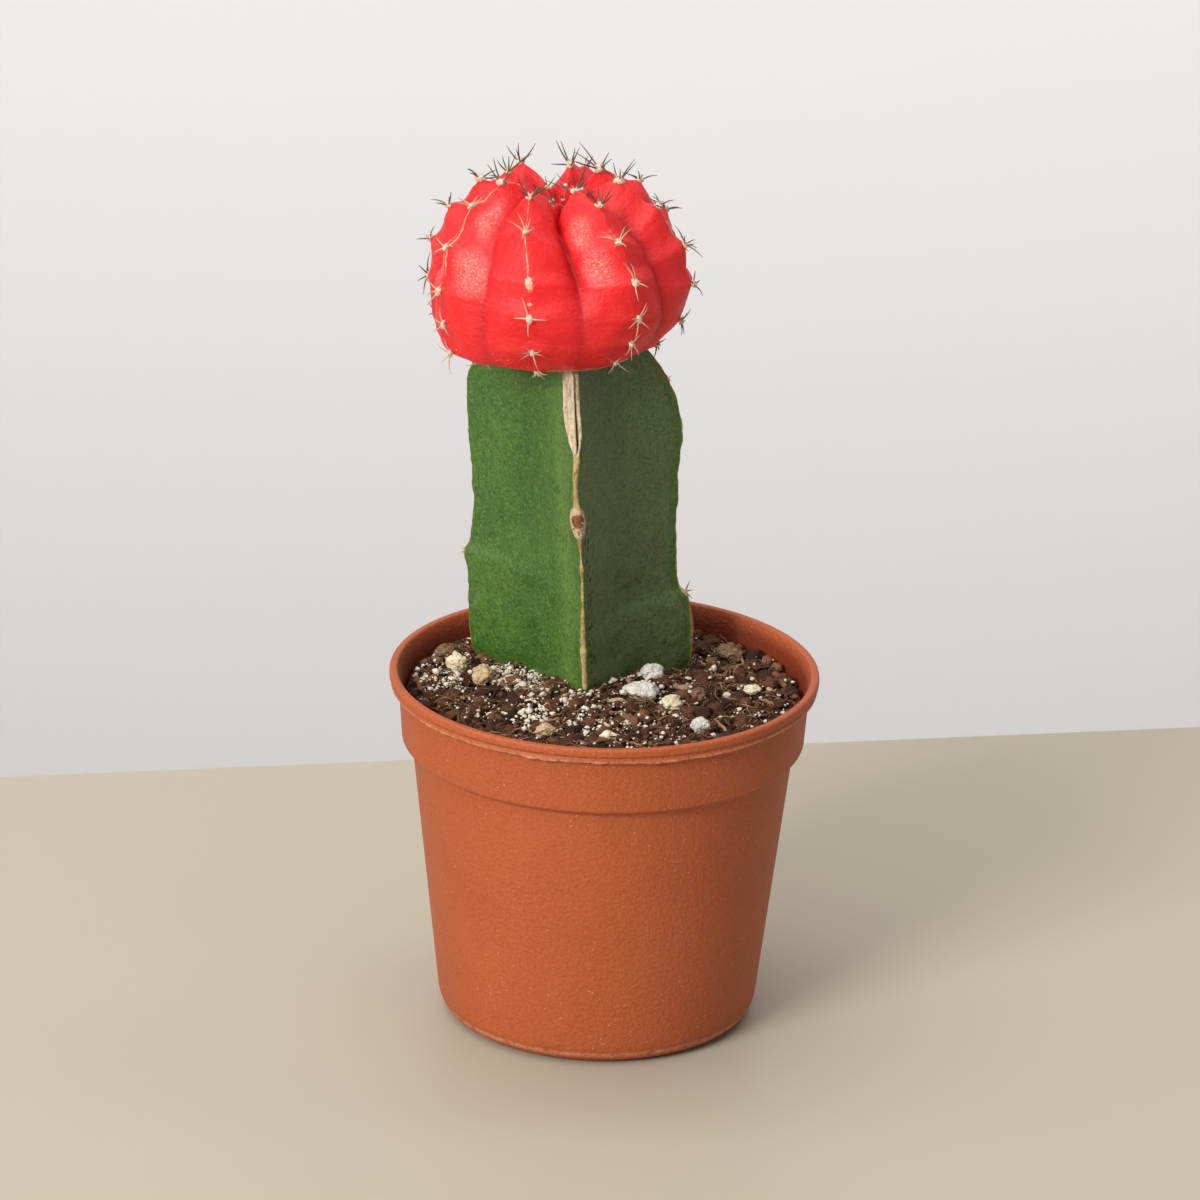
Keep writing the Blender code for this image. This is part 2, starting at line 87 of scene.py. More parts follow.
def mesh_object(name, verts, faces, mat, attributes=None, smooth=True):
    """verts in millimetres."""
    mesh = bpy.data.meshes.new(name)
    mesh.from_pydata((np.asarray(verts, float) * MM).tolist(), [], faces)
    for key, values in (attributes or {}).items():
        layer = mesh.attributes.new(key, "FLOAT", "POINT")
        layer.data.foreach_set("value", np.asarray(values, np.float32))
    if smooth:
        mesh.shade_smooth()
    mesh.update()
    obj = bpy.data.objects.new(name, mesh)
    bpy.context.scene.collection.objects.link(obj)
    mesh.materials.append(mat)
    return obj


def grid_faces(rows, columns, offset=0):
    """Quads of a grid whose columns close on themselves; rows run upwards when columns run counter-clockwise."""
    faces = []
    for r in range(rows - 1):
        a, b = offset + r * columns, offset + (r + 1) * columns
        for c in range(columns):
            d = (c + 1) % columns
            faces.append((a + c, a + d, b + d, b + c))
    return faces


class Soup:
    """Many small closed shapes gathered into one mesh."""

    def __init__(self):
        self.verts, self.faces, self.count = [], [], 0
        self.values = {}

    def add(self, verts, faces, **values):
        verts = np.asarray(verts, float)
        self.verts.append(verts)
        self.faces += [tuple(i + self.count for i in f) for f in faces]
        self.count += len(verts)
        for key, value in values.items():
            self.values.setdefault(key, []).append(np.broadcast_to(np.asarray(value, float), (len(verts),)))

    def make(self, name, mat, smooth=True):
        return mesh_object(name, np.concatenate(self.verts), self.faces, mat, {k: np.concatenate(v) for k, v in self.values.items()}, smooth)


def tube(path, radii, sides=6):
    """A closed tube along a path, with radii at its points. Returns verts and faces."""
    path = np.asarray(path, float)
    n = len(path)
    ahead = np.gradient(path, axis=0)
    ahead /= np.linalg.norm(ahead, axis=1)[:, None]
    side = np.cross(ahead[0], (0.13, 0.21, 0.97))
    verts = []
    for k in range(n):
        side = side - ahead[k] * side.dot(ahead[k])
        side /= np.linalg.norm(side)
        up = np.cross(ahead[k], side)
        turns = 2 * np.pi * np.arange(sides) / sides
        verts.append(path[k] + radii[k] * (np.cos(turns)[:, None] * side + np.sin(turns)[:, None] * up))
    faces = grid_faces(n, sides)
    faces.append(tuple(range(sides))[::-1])
    faces.append(tuple((n - 1) * sides + k for k in range(sides)))
    return np.concatenate(verts), faces


def ico(fineness):
    bm = bmesh.new()
    bmesh.ops.create_icosphere(bm, subdivisions=fineness, radius=1.0)
    verts = np.array([v.co[:] for v in bm.verts])
    faces = [tuple(v.index for v in f.verts) for f in bm.faces]
    bm.free()
    return verts, faces


# =====================================================================================================================
# Material kit
# =====================================================================================================================
class Mat:
    """A Principled material, with short calls for the nodes that feed it. Texture space is millimetres."""

    def __init__(self, name):
        self.m = bpy.data.materials.new(name)
        self.m.use_nodes = True
        self.t = self.m.node_tree
        self.bsdf = self.t.nodes["Principled BSDF"]
        coord = self.t.nodes.new("ShaderNodeTexCoord")
        scale = self.t.nodes.new("ShaderNodeVectorMath")
        scale.operation = "SCALE"
        scale.inputs["Scale"].default_value = 1000.0
        self.t.links.new(coord.outputs["Object"], scale.inputs[0])
        self.mm = scale.outputs[0]

    def put(self, value, socket):
        if isinstance(value, bpy.types.NodeSocket):
            self.t.links.new(value, socket)
        elif isinstance(value, (tuple, list)) and len(value) == 3 and socket.type == "RGBA":
            socket.default_value = (*value, 1.0)
        else:
            socket.default_value = value

    def set(self, **values):
        for key, value in values.items():
            self.put(value, self.bsdf.inputs[key.replace("_", " ")])

    def attr(self, name):
        node = self.t.nodes.new("ShaderNodeAttribute")
        node.attribute_name = name
        return node.outputs["Fac"]

    def noise(self, scale, detail=3.0, rough=0.55, vector=None, distortion=0.0):
        node = self.t.nodes.new("ShaderNodeTexNoise")
        self.t.links.new(vector or self.mm, node.inputs["Vector"])
        node.inputs["Scale"].default_value = scale
        node.inputs["Detail"].default_value = detail
        node.inputs["Roughness"].default_value = rough
        node.inputs["Distortion"].default_value = distortion
        return node.outputs["Fac"]

    def voronoi(self, scale, feature="F1", vector=None, randomness=1.0, out="Distance"):
        node = self.t.nodes.new("ShaderNodeTexVoronoi")
        node.feature = feature
        self.t.links.new(vector or self.mm, node.inputs["Vector"])
        node.inputs["Scale"].default_value = scale
        node.inputs["Randomness"].default_value = randomness
        return node.outputs[out]

    def math(self, op, a, b=None, c=None, clamp=False):
        node = self.t.nodes.new("ShaderNodeMath")
        node.operation = op
        node.use_clamp = clamp
        for value, socket in zip((a, b, c), node.inputs):
            if value is not None:
                self.put(value, socket)
        return node.outputs[0]

    def ramp(self, value, *stops, smooth=False):
        """stops are (position, colour or grey)."""
        node = self.t.nodes.new("ShaderNodeValToRGB")
        self.t.links.new(value, node.inputs["Fac"])
        ramp = node.color_ramp
        ramp.interpolation = "EASE" if smooth else "LINEAR"
        while len(ramp.elements) < len(stops):
            ramp.elements.new(0.5)
        for element, (place, colour) in zip(ramp.elements, stops):
            element.position = place
            element.color = (*colour, 1.0) if isinstance(colour, (tuple, list)) else (colour, colour, colour, 1.0)
        return node.outputs["Color"]

    def step(self, value, low, high):
        """0 below low, 1 above high, smooth between; low may exceed high."""
        node = self.t.nodes.new("ShaderNodeMapRange")
        node.interpolation_type = "SMOOTHSTEP"
        self.t.links.new(value, node.inputs["Value"])
        flip = low > high
        node.inputs["From Min"].default_value = min(low, high)
        node.inputs["From Max"].default_value = max(low, high)
        node.inputs["To Min"].default_value = 1.0 if flip else 0.0
        node.inputs["To Max"].default_value = 0.0 if flip else 1.0
        return node.outputs["Result"]

    def mix(self, factor, a, b, blend="MIX"):
        node = self.t.nodes.new("ShaderNodeMix")
        node.data_type = "RGBA"
        node.blend_type = blend
        self.put(factor, node.inputs[0])
        self.put(a, node.inputs[6])
        self.put(b, node.inputs[7])
        return node.outputs[2]

    def axis(self, which):
        node = self.t.nodes.new("ShaderNodeSeparateXYZ")
        self.t.links.new(self.mm, node.inputs[0])
        return node.outputs[which]

    def squash(self, x, y, z):
        node = self.t.nodes.new("ShaderNodeVectorMath")
        node.operation = "MULTIPLY"
        self.t.links.new(self.mm, node.inputs[0])
        node.inputs[1].default_value = (x, y, z)
        return node.outputs[0]

    def bump(self, height, mm, strength=1.0, under=None):
        node = self.t.nodes.new("ShaderNodeBump")
        self.t.links.new(height, node.inputs["Height"])
        node.inputs["Distance"].default_value = mm * MM
        node.inputs["Strength"].default_value = strength
        if under is not None:
            self.t.links.new(under, node.inputs["Normal"])
        return node.outputs["Normal"]


def srgb(r, g, b):
    return tuple((v / 255 / 12.92) if v <= 10 else ((v / 255 + 0.055) / 1.055) ** 2.4 for v in (r, g, b))


# ---- terracotta-coloured plastic: fine sand texture, pale pin specks, slightly worn mottling ----
def make_pot_material():
    m = Mat("terracotta_plastic")
    broad = m.noise(0.05, 4, 0.6)
    fine = m.noise(2.3, 4, 0.6)
    base = m.mix(m.step(broad, 0.3, 0.72), (0.392, 0.080, 0.021), (0.424, 0.090, 0.025))
    base = m.mix(m.math("MULTIPLY", m.step(fine, 0.45, 0.75), 0.42), base, (0.52, 0.138, 0.050))
    base = m.mix(m.math("MULTIPLY", m.step(fine, 0.5, 0.25), 0.50), base, (0.28, 0.052, 0.014))
    # pale pin specks, sparse and uneven
    cells = m.voronoi(0.9)
    patch = m.noise(0.16, 3)
    speck = m.math("MULTIPLY", m.step(cells, 0.13, 0.07), m.step(patch, 0.45, 0.62))
    base = m.mix(m.math("MULTIPLY", speck, 0.6), base, (0.72, 0.42, 0.28))
    # painted shade: the inner wall is painted much darker than the outside, fading out towards the rim
    inside = m.attr("inside")
    base = m.mix(inside, base, (0.185, 0.025, 0.005))
    # pale: paler plastic along the base moulding line; on the ridge under the lip, paler flash that is partly a painted
    # highlight
    pale = m.attr("pale")
    base = m.mix(m.math("MULTIPLY", pale, m.math("MULTIPLY", m.step(m.noise(0.9, 4, 0.7), 0.34, 0.58), 0.75)), base, (0.74, 0.36, 0.20))
    m.set(Base_Color=base, Metallic=0.0, Specular_IOR_Level=0.40)
    m.set(Roughness=m.ramp(fine, (0.3, 0.50), (0.7, 0.62)))
    grain = m.noise(3.0, 3, 0.6)
    pits = m.voronoi(1.75, "SMOOTH_F1")
    normal = m.bump(grain, 0.15, 0.65)
    normal = m.bump(pits, 0.13, 0.65, normal)
    normal = m.bump(broad, 0.9, 0.12, normal)
    m.set(Normal=normal)
    return m.m


# ---- peat: near-black to mid brown, each crumb its own tint ----
def make_peat_material():
    m = Mat("peat")
    tint = m.attr("tint")
    fine = m.noise(2.2, 4, 0.65)
    mixed = m.math("ADD", tint, m.math("MULTIPLY", m.math("SUBTRACT", fine, 0.5), 0.55))
    base = m.ramp(mixed, (0.0, (0.020, 0.009, 0.005)), (0.35, (0.062, 0.024, 0.012)), (0.62, (0.130, 0.052, 0.024)), (0.85, (0.23, 0.110, 0.054)), (1.0, (0.38, 0.25, 0.15)))
    dust = m.math("MULTIPLY", m.step(m.voronoi(4.5), 0.20, 0.10), m.step(m.noise(0.35, 3), 0.50, 0.68))
    base = m.mix(m.math("MULTIPLY", dust, 0.55), base, (0.58, 0.47, 0.33))
    m.set(Base_Color=base, Roughness=0.93, Specular_IOR_Level=0.25)
    normal = m.bump(m.noise(5.0, 4, 0.7), 0.25, 0.8)
    m.set(Normal=normal)
    return m.m


def make_fibre_material():
    m = Mat("peat_fibre")
    tint = m.attr("tint")
    base = m.ramp(tint, (0.0, (0.055, 0.024, 0.011)), (0.5, (0.18, 0.080, 0.036)), (1.0, (0.46, 0.29, 0.16)))
    base = m.mix(m.math("MULTIPLY", m.noise(2.5, 3), 0.5), base, (0.09, 0.045, 0.022))
    m.set(Base_Color=base, Roughness=0.85, Specular_IOR_Level=0.3)
    m.set(Normal=m.bump(m.noise(4.0, 3), 0.08, 0.6))
    return m.m


# ---- perlite and grit: chalky cream to grey-white, pitted, dusted with peat underneath ----
def make_grit_material(name, pale, warm, stain=0.45):
    m = Mat(name)
    broad = m.noise(0.55, 4, 0.65)
    fine = m.noise(3.0, 4, 0.7)
    base = m.mix(m.step(broad, 0.35, 0.65), pale, warm)
    base = m.mix(m.math("MULTIPLY", m.step(fine, 0.56, 0.74), stain), base, (0.24, 0.15, 0.085))
    pit = m.voronoi(1.7)
    base = m.mix(m.math("MULTIPLY", m.step(pit, 0.22, 0.05), 0.45), base, (0.20, 0.13, 0.08))
    m.set(Base_Color=base, Roughness=0.9, Specular_IOR_Level=0.3)
    normal = m.bump(fine, 0.22, 0.7)
    normal = m.bump(pit, 0.3, 0.55, normal)
    m.set(Normal=normal)
    return m.m


def make_bark_material():
    m = Mat("bark")
    streak = m.noise(1.2, 4, 0.7, m.squash(1, 3.2, 2.0))
    base = m.ramp(streak, (0.25, (0.05, 0.026, 0.014)), (0.5, (0.20, 0.115, 0.06)), (0.75, (0.42, 0.29, 0.18)))
    m.set(Base_Color=base, Roughness=0.88, Specular_IOR_Level=0.3)
    m.set(Normal=m.bump(streak, 0.5, 0.8))
    return m.m


# ---- green stem: waxy skin with soft mottling, pale stipples, corky tan rib edges and a healed cream scar ----
def make_stem_material():
    m = Mat("green_stem")
    broad = m.noise(0.10, 4, 0.6)
    streak = m.noise(0.75, 5, 0.68, m.squash(1.0, 1.0, 0.7))
    fine = m.noise(3.2, 3, 0.6)
    base = m.mix(m.step(broad, 0.32, 0.7), (0.043, 0.124, 0.013), (0.064, 0.155, 0.019))
    base = m.mix(m.math("MULTIPLY", m.step(streak, 0.45, 0.70), 0.30), base, (0.096, 0.190, 0.028))
    # painted light: brightest beside the front rib, on the left face most of all, with a soft band of painted shade in
    # each face's hollow middle farther out
    base = m.mix(m.math("MULTIPLY", m.attr("painted_light_band"), 0.55), base, (0.135, 0.245, 0.042))
    base = m.mix(m.math("MULTIPLY", m.attr("painted_hollow_shade"), 0.35), base, (0.030, 0.092, 0.012))
    # painted shade: the right face, turned from the light, and the back face at half strength are greyed away from the
    # rib crests
    base = m.mix(m.math("MULTIPLY", m.attr("grey"), 0.66), base, (0.128, 0.162, 0.064))
    # fine pale and dark stipples
    dots = m.step(m.voronoi(2.3), 0.26, 0.10)
    base = m.mix(m.math("MULTIPLY", dots, m.math("MULTIPLY", m.step(m.noise(0.35, 3), 0.32, 0.6), 0.65)), base, (0.21, 0.32, 0.10))
    base = m.mix(m.math("MULTIPLY", m.step(fine, 0.50, 0.28), 0.62), base, (0.022, 0.062, 0.007))
    # every cell of the skin has its own slight tint
    cell = m.voronoi(2.5, out="Color")
    base = m.mix(m.step(cell, 0.55, 0.95), base, m.mix(0.24, base, (0.20, 0.33, 0.09)))
    base = m.mix(m.step(cell, 0.42, 0.10), base, m.mix(0.42, base, (0.010, 0.034, 0.004)))
    # small dark flecks beside the front rib
    flecks = m.math("MULTIPLY", m.step(m.voronoi(1.05, vector=m.squash(1.1, 1.1, 0.8)), 0.38, 0.28), m.step(m.attr("fleck"), 0.20, 0.5))
    base = m.mix(m.math("MULTIPLY", flecks, 0.90), base, (0.006, 0.007, 0.003))
    # corky edges: the attribute holds how far inside the corky band a point is, roughened by noise
    rough_edge = m.math("MULTIPLY", m.math("SUBTRACT", m.noise(1.5, 4, 0.7), 0.5), 0.55)
    cork = m.step(m.math("ADD", m.attr("cork"), rough_edge), 0.42, 0.58)
    cork_colour = m.ramp(m.noise(1.1, 4, 0.7, m.squash(1.0, 1.0, 0.5)), (0.28, (0.21, 0.115, 0.035)), (0.5, (0.50, 0.37, 0.15)), (0.72, (0.66, 0.53, 0.28)))
    cork_colour = m.mix(m.attr("rust"), cork_colour, m.ramp(m.noise(1.3, 4, 0.7), (0.3, (0.15, 0.060, 0.020)), (0.7, (0.40, 0.20, 0.075))))
    halo = m.step(m.math("ADD", m.attr("cork"), rough_edge), 0.12, 0.50)
    base = m.mix(m.math("MULTIPLY", halo, 0.40), base, (0.17, 0.20, 0.050))
    base = m.mix(cork, base, cork_colour)
    # the healed scar: cream with dark pores, brown in its groove
    scar_edge = m.math("MULTIPLY", m.math("SUBTRACT", m.noise(1.2, 4, 0.7), 0.5), 0.5)
    scar = m.step(m.math("ADD", m.attr("scar"), scar_edge), 0.40, 0.56)
    cream = m.ramp(m.noise(1.6, 4, 0.7, m.squash(1.0, 1.0, 0.45)), (0.30, (0.30, 0.19, 0.105)), (0.48, (0.62, 0.49, 0.34)), (0.70, (0.80, 0.70, 0.54)))
    pores = m.step(m.voronoi(1.9, vector=m.squash(1.0, 1.0, 0.7)), 0.17, 0.10)
    cream = m.mix(m.math("MULTIPLY", pores, 0.8), cream, (0.12, 0.065, 0.03))
    base = m.mix(scar, base, cream)
    base = m.mix(m.step(m.math("ADD", m.attr("groove"), m.math("MULTIPLY", scar_edge, 0.6)), 0.35, 0.65), base, (0.13, 0.062, 0.026))
    # areoles
    base = m.mix(m.step(m.attr("areole"), 0.30, 0.6), base, m.ramp(m.noise(2.2, 3, 0.7), (0.3, (0.34, 0.22, 0.11)), (0.6, (0.66, 0.52, 0.34))))
    base = m.mix(m.step(m.math("ADD", m.attr("heart"), rough_edge), 0.40, 0.75), base, m.ramp(m.noise(2.6, 3, 0.7), (0.3, (0.10, 0.035, 0.014)), (0.7, (0.34, 0.135, 0.050))))
    base = m.mix(m.attr("buried"), base, (0.20, 0.15, 0.08))
    m.set(Base_Color=base, Specular_IOR_Level=0.42)
    dry = m.math("MAXIMUM", m.math("MAXIMUM", cork, scar), m.attr("areole"))
    m.set(Roughness=m.ramp(dry, (0.0, 0.46), (1.0, 0.88)))
    m.bsdf.inputs["Subsurface Weight"].default_value = 0.06
    m.bsdf.inputs["Subsurface Radius"].default_value = (0.4, 1.0, 0.3)
    m.bsdf.inputs["Subsurface Scale"].default_value = 0.001
    normal = m.bump(fine, 0.17, 0.7)
    normal = m.bump(dots, 0.06, 0.7, normal)
    normal = m.bump(streak, 0.30, 0.25, normal)
    normal = m.bump(m.math("MULTIPLY", dry, m.noise(2.4, 4, 0.7)), 0.28, 0.8, normal)
    m.set(Normal=normal)
    return m.m


# ---- red globe: satin skin, finely wrinkled, paler scuffs on the tubercles, painted shade in the furrows and painted highlight patches ----
def make_globe_material():
    m = Mat("red_globe")
    broad = m.noise(0.16, 4, 0.6)
    wrinkle = m.noise(1.5, 4, 0.65, m.squash(1.0, 1.0, 1.5), 0.4)
    fine = m.noise(4.2, 3, 0.6)
    leather = m.voronoi(2.1, "SMOOTH_F1", m.squash(1.0, 1.0, 1.35))
    base = m.mix(m.step(broad, 0.32, 0.7), (0.74, 0.010, 0.013), (0.82, 0.018, 0.021))
    # painted shade: darker red along the furrows
    base = m.mix(m.math("MULTIPLY", m.attr("furrow"), 0.80), base, (0.48, 0.004, 0.010))
    base = m.mix(m.math("MULTIPLY", m.step(wrinkle, 0.52, 0.74), 0.28), base, (0.88, 0.070, 0.062))
    base = m.mix(m.math("MULTIPLY", m.step(fine, 0.5, 0.3), 0.28), base, (0.56, 0.007, 0.011))
    # pale transverse bands between the tubercles, and scuffs
    band = m.math("MULTIPLY", m.attr("band"), m.step(m.noise(0.9, 4, 0.7, m.squash(1, 1, 2.5)), 0.42, 0.66))
    base = m.mix(m.math("MULTIPLY", band, 0.24), base, (0.90, 0.14, 0.10))
    scuff = m.math("MULTIPLY", m.step(m.noise(0.8, 5, 0.72), 0.66, 0.76), m.step(broad, 0.45, 0.6))
    base = m.mix(m.math("MULTIPLY", scuff, 0.30), base, (0.88, 0.28, 0.20))
    # painted highlight: whitish-pink sheen patches on the faces beside the front furrows, where the key light reflects
    painted_sheen = m.math("MULTIPLY", m.attr("sheen"), m.math("MULTIPLY_ADD", m.step(m.voronoi(2.7, "SMOOTH_F1", m.squash(1.0, 1.0, 1.35)), 0.42, 0.20), 0.62, 0.30))
    base = m.mix(m.math("MULTIPLY", painted_sheen, 0.90), base, (0.84, 0.31, 0.27))
    # the thin line down each crest, dry and pale
    keel = m.step(m.math("ADD", m.attr("keel"), m.math("MULTIPLY", m.math("SUBTRACT", m.noise(1.3, 4, 0.7), 0.5), 0.9)), 0.52, 0.80)
    base = m.mix(m.math("MULTIPLY", keel, 0.85), base, (0.80, 0.44, 0.27))
    # tiny pale pimples low on the globe
    pimple = m.math("MULTIPLY", m.step(m.voronoi(0.75), 0.13, 0.07), m.attr("low"))
    base = m.mix(m.math("MULTIPLY", pimple, 0.55), base, (0.88, 0.50, 0.38))
    # corky cream scars on the front rib
    corky = m.step(m.math("ADD", m.attr("scab"), m.math("MULTIPLY", m.math("SUBTRACT", m.noise(1.7, 4, 0.7), 0.5), 1.0)), 0.48, 0.62)
    base = m.mix(m.math("MULTIPLY", corky, 0.9), base, m.ramp(m.noise(2.0, 3), (0.3, (0.62, 0.30, 0.17)), (0.7, (0.86, 0.66, 0.46))))
    # the rim round the graft is dry, paler and browner, with dark bits
    rim = m.step(m.math("ADD", m.attr("graft"), m.math("MULTIPLY", m.math("SUBTRACT", m.noise(0.8, 4, 0.7), 0.5), 0.9)), 0.40, 0.75)
    base = m.mix(m.math("MULTIPLY", rim, 0.75), base, m.ramp(m.noise(1.6, 4, 0.7), (0.30, (0.10, 0.04, 0.02)), (0.48, (0.52, 0.26, 0.15)), (0.75, (0.72, 0.48, 0.32))))
    m.set(Base_Color=base, Specular_IOR_Level=0.42)
    m.set(Roughness=m.mix(m.attr("sheen"), m.ramp(wrinkle, (0.3, 0.46), (0.7, 0.56)), m.ramp(wrinkle, (0.3, 0.30), (0.7, 0.40))))
    m.bsdf.inputs["Subsurface Weight"].default_value = 0.60
    m.bsdf.inputs["Subsurface Radius"].default_value = (9.0, 0.5, 0.4)
    m.bsdf.inputs["Subsurface Scale"].default_value = 0.001
    normal = m.bump(wrinkle, 0.26, 0.50)
    normal = m.bump(fine, 0.07, 0.5, normal)
    normal = m.bump(m.math("MULTIPLY", leather, m.math("MULTIPLY_ADD", m.attr("sheen"), 0.9, 0.35)), 0.26, 0.75, normal)
    m.set(Normal=normal)
    return m.m


def make_spine_material():
    m = Mat("spine")
    along = m.attr("along")
    base = m.ramp(along, (0.0, (0.64, 0.47, 0.29)), (0.35, (0.52, 0.38, 0.24)), (0.62, (0.17, 0.105, 0.065)), (1.0, (0.040, 0.024, 0.018)))
    base = m.mix(m.math("MULTIPLY", m.noise(1.3, 2), 0.35), base, (0.20, 0.13, 0.08))
    m.set(Base_Color=base, Roughness=0.5, Specular_IOR_Level=0.45)
    m.set(Normal=m.bump(m.noise(5.0, 2), 0.03, 0.5))
    return m.m


def make_wool_material():
    m = Mat("areole_wool")
    base = m.ramp(m.noise(3.0, 4, 0.7), (0.3, (0.52, 0.36, 0.22)), (0.55, (0.78, 0.66, 0.50)), (0.8, (0.90, 0.82, 0.70)))
    m.set(Base_Color=base, Roughness=0.95, Specular_IOR_Level=0.2)
    m.bsdf.inputs["Sheen Weight"].default_value = 0.3
    m.set(Normal=m.bump(m.noise(6.0, 4, 0.75), 0.2, 0.9))
    return m.m


POT = make_pot_material()
PEAT = make_peat_material()
FIBRE = make_fibre_material()
GRIT = make_grit_material("fine_grit", (0.80, 0.76, 0.66), (0.66, 0.55, 0.38), 0.25)
STONE_GREY = make_grit_material("perlite_grey", (0.74, 0.71, 0.63), (0.56, 0.53, 0.46))
STONE_CREAM = make_grit_material("perlite_cream", (0.80, 0.74, 0.58), (0.66, 0.50, 0.28))
STONE_TAN = make_grit_material("perlite_tan", (0.68, 0.55, 0.36), (0.50, 0.33, 0.17))
BARK = make_bark_material()
STEM = make_stem_material()
GLOBE = make_globe_material()
SPINE = make_spine_material()
WOOL = make_wool_material()


# =====================================================================================================================
# Pot
# =====================================================================================================================
RIM_R, RIM_Z, LIP_INNER_R = 32.5, 55.0, 31.2
COLLAR_R, COLLAR_FOOT_R, COLLAR_FOOT_Z = 31.0, 30.45, 44.1
WALL_TOP_R, WALL_TOP_Z = 28.9, 43.3
BASE_R, BASE_FILLET, WALL_T, BASE_RECESS = 24.0, 3.0, 0.85, 0.8
STEP_Z = 44.0
DRAIN_R, DRAIN_CIRCLE_R, DRAIN_COUNT = 2.5, 13.0, 4


def wall_r(z):
    return BASE_R + (WALL_TOP_R - BASE_R) * z / WALL_TOP_Z


def arc(cx, cz, r, a0, a1, count):
    turns = np.radians(np.linspace(a0, a1, count + 1))
    return [(cx + r * math.cos(a), cz + r * math.sin(a)) for a in turns]


def straight(a, b, count):
    """Points from a to b, leaving b out."""
    return [(a[0] + (b[0] - a[0]) * k / count, a[1] + (b[1] - a[1]) * k / count) for k in range(count)]


def rounded(points, steps=5):
    """A polyline whose corners are rounded: each point is (radius, height, how far from the corner the round starts)."""
    out = [points[0][:2]]
    for before, here, after in zip(points, points[1:], points[2:]):
        p, a, b = (np.array(q[:2], float) for q in (here, before, after))
        size = here[2]
        if size <= 0:
            out.append(tuple(p))
            continue
        start = p + (a - p) / np.linalg.norm(a - p) * min(size, 0.48 * np.linalg.norm(a - p))
        end = p + (b - p) / np.linalg.norm(b - p) * min(size, 0.48 * np.linalg.norm(b - p))
        for k in range(steps + 1):
            t = k / steps
            out.append(tuple((1 - t) ** 2 * start + 2 * t * (1 - t) * p + t * t * end))
    out.append(points[-1][:2])
    return out


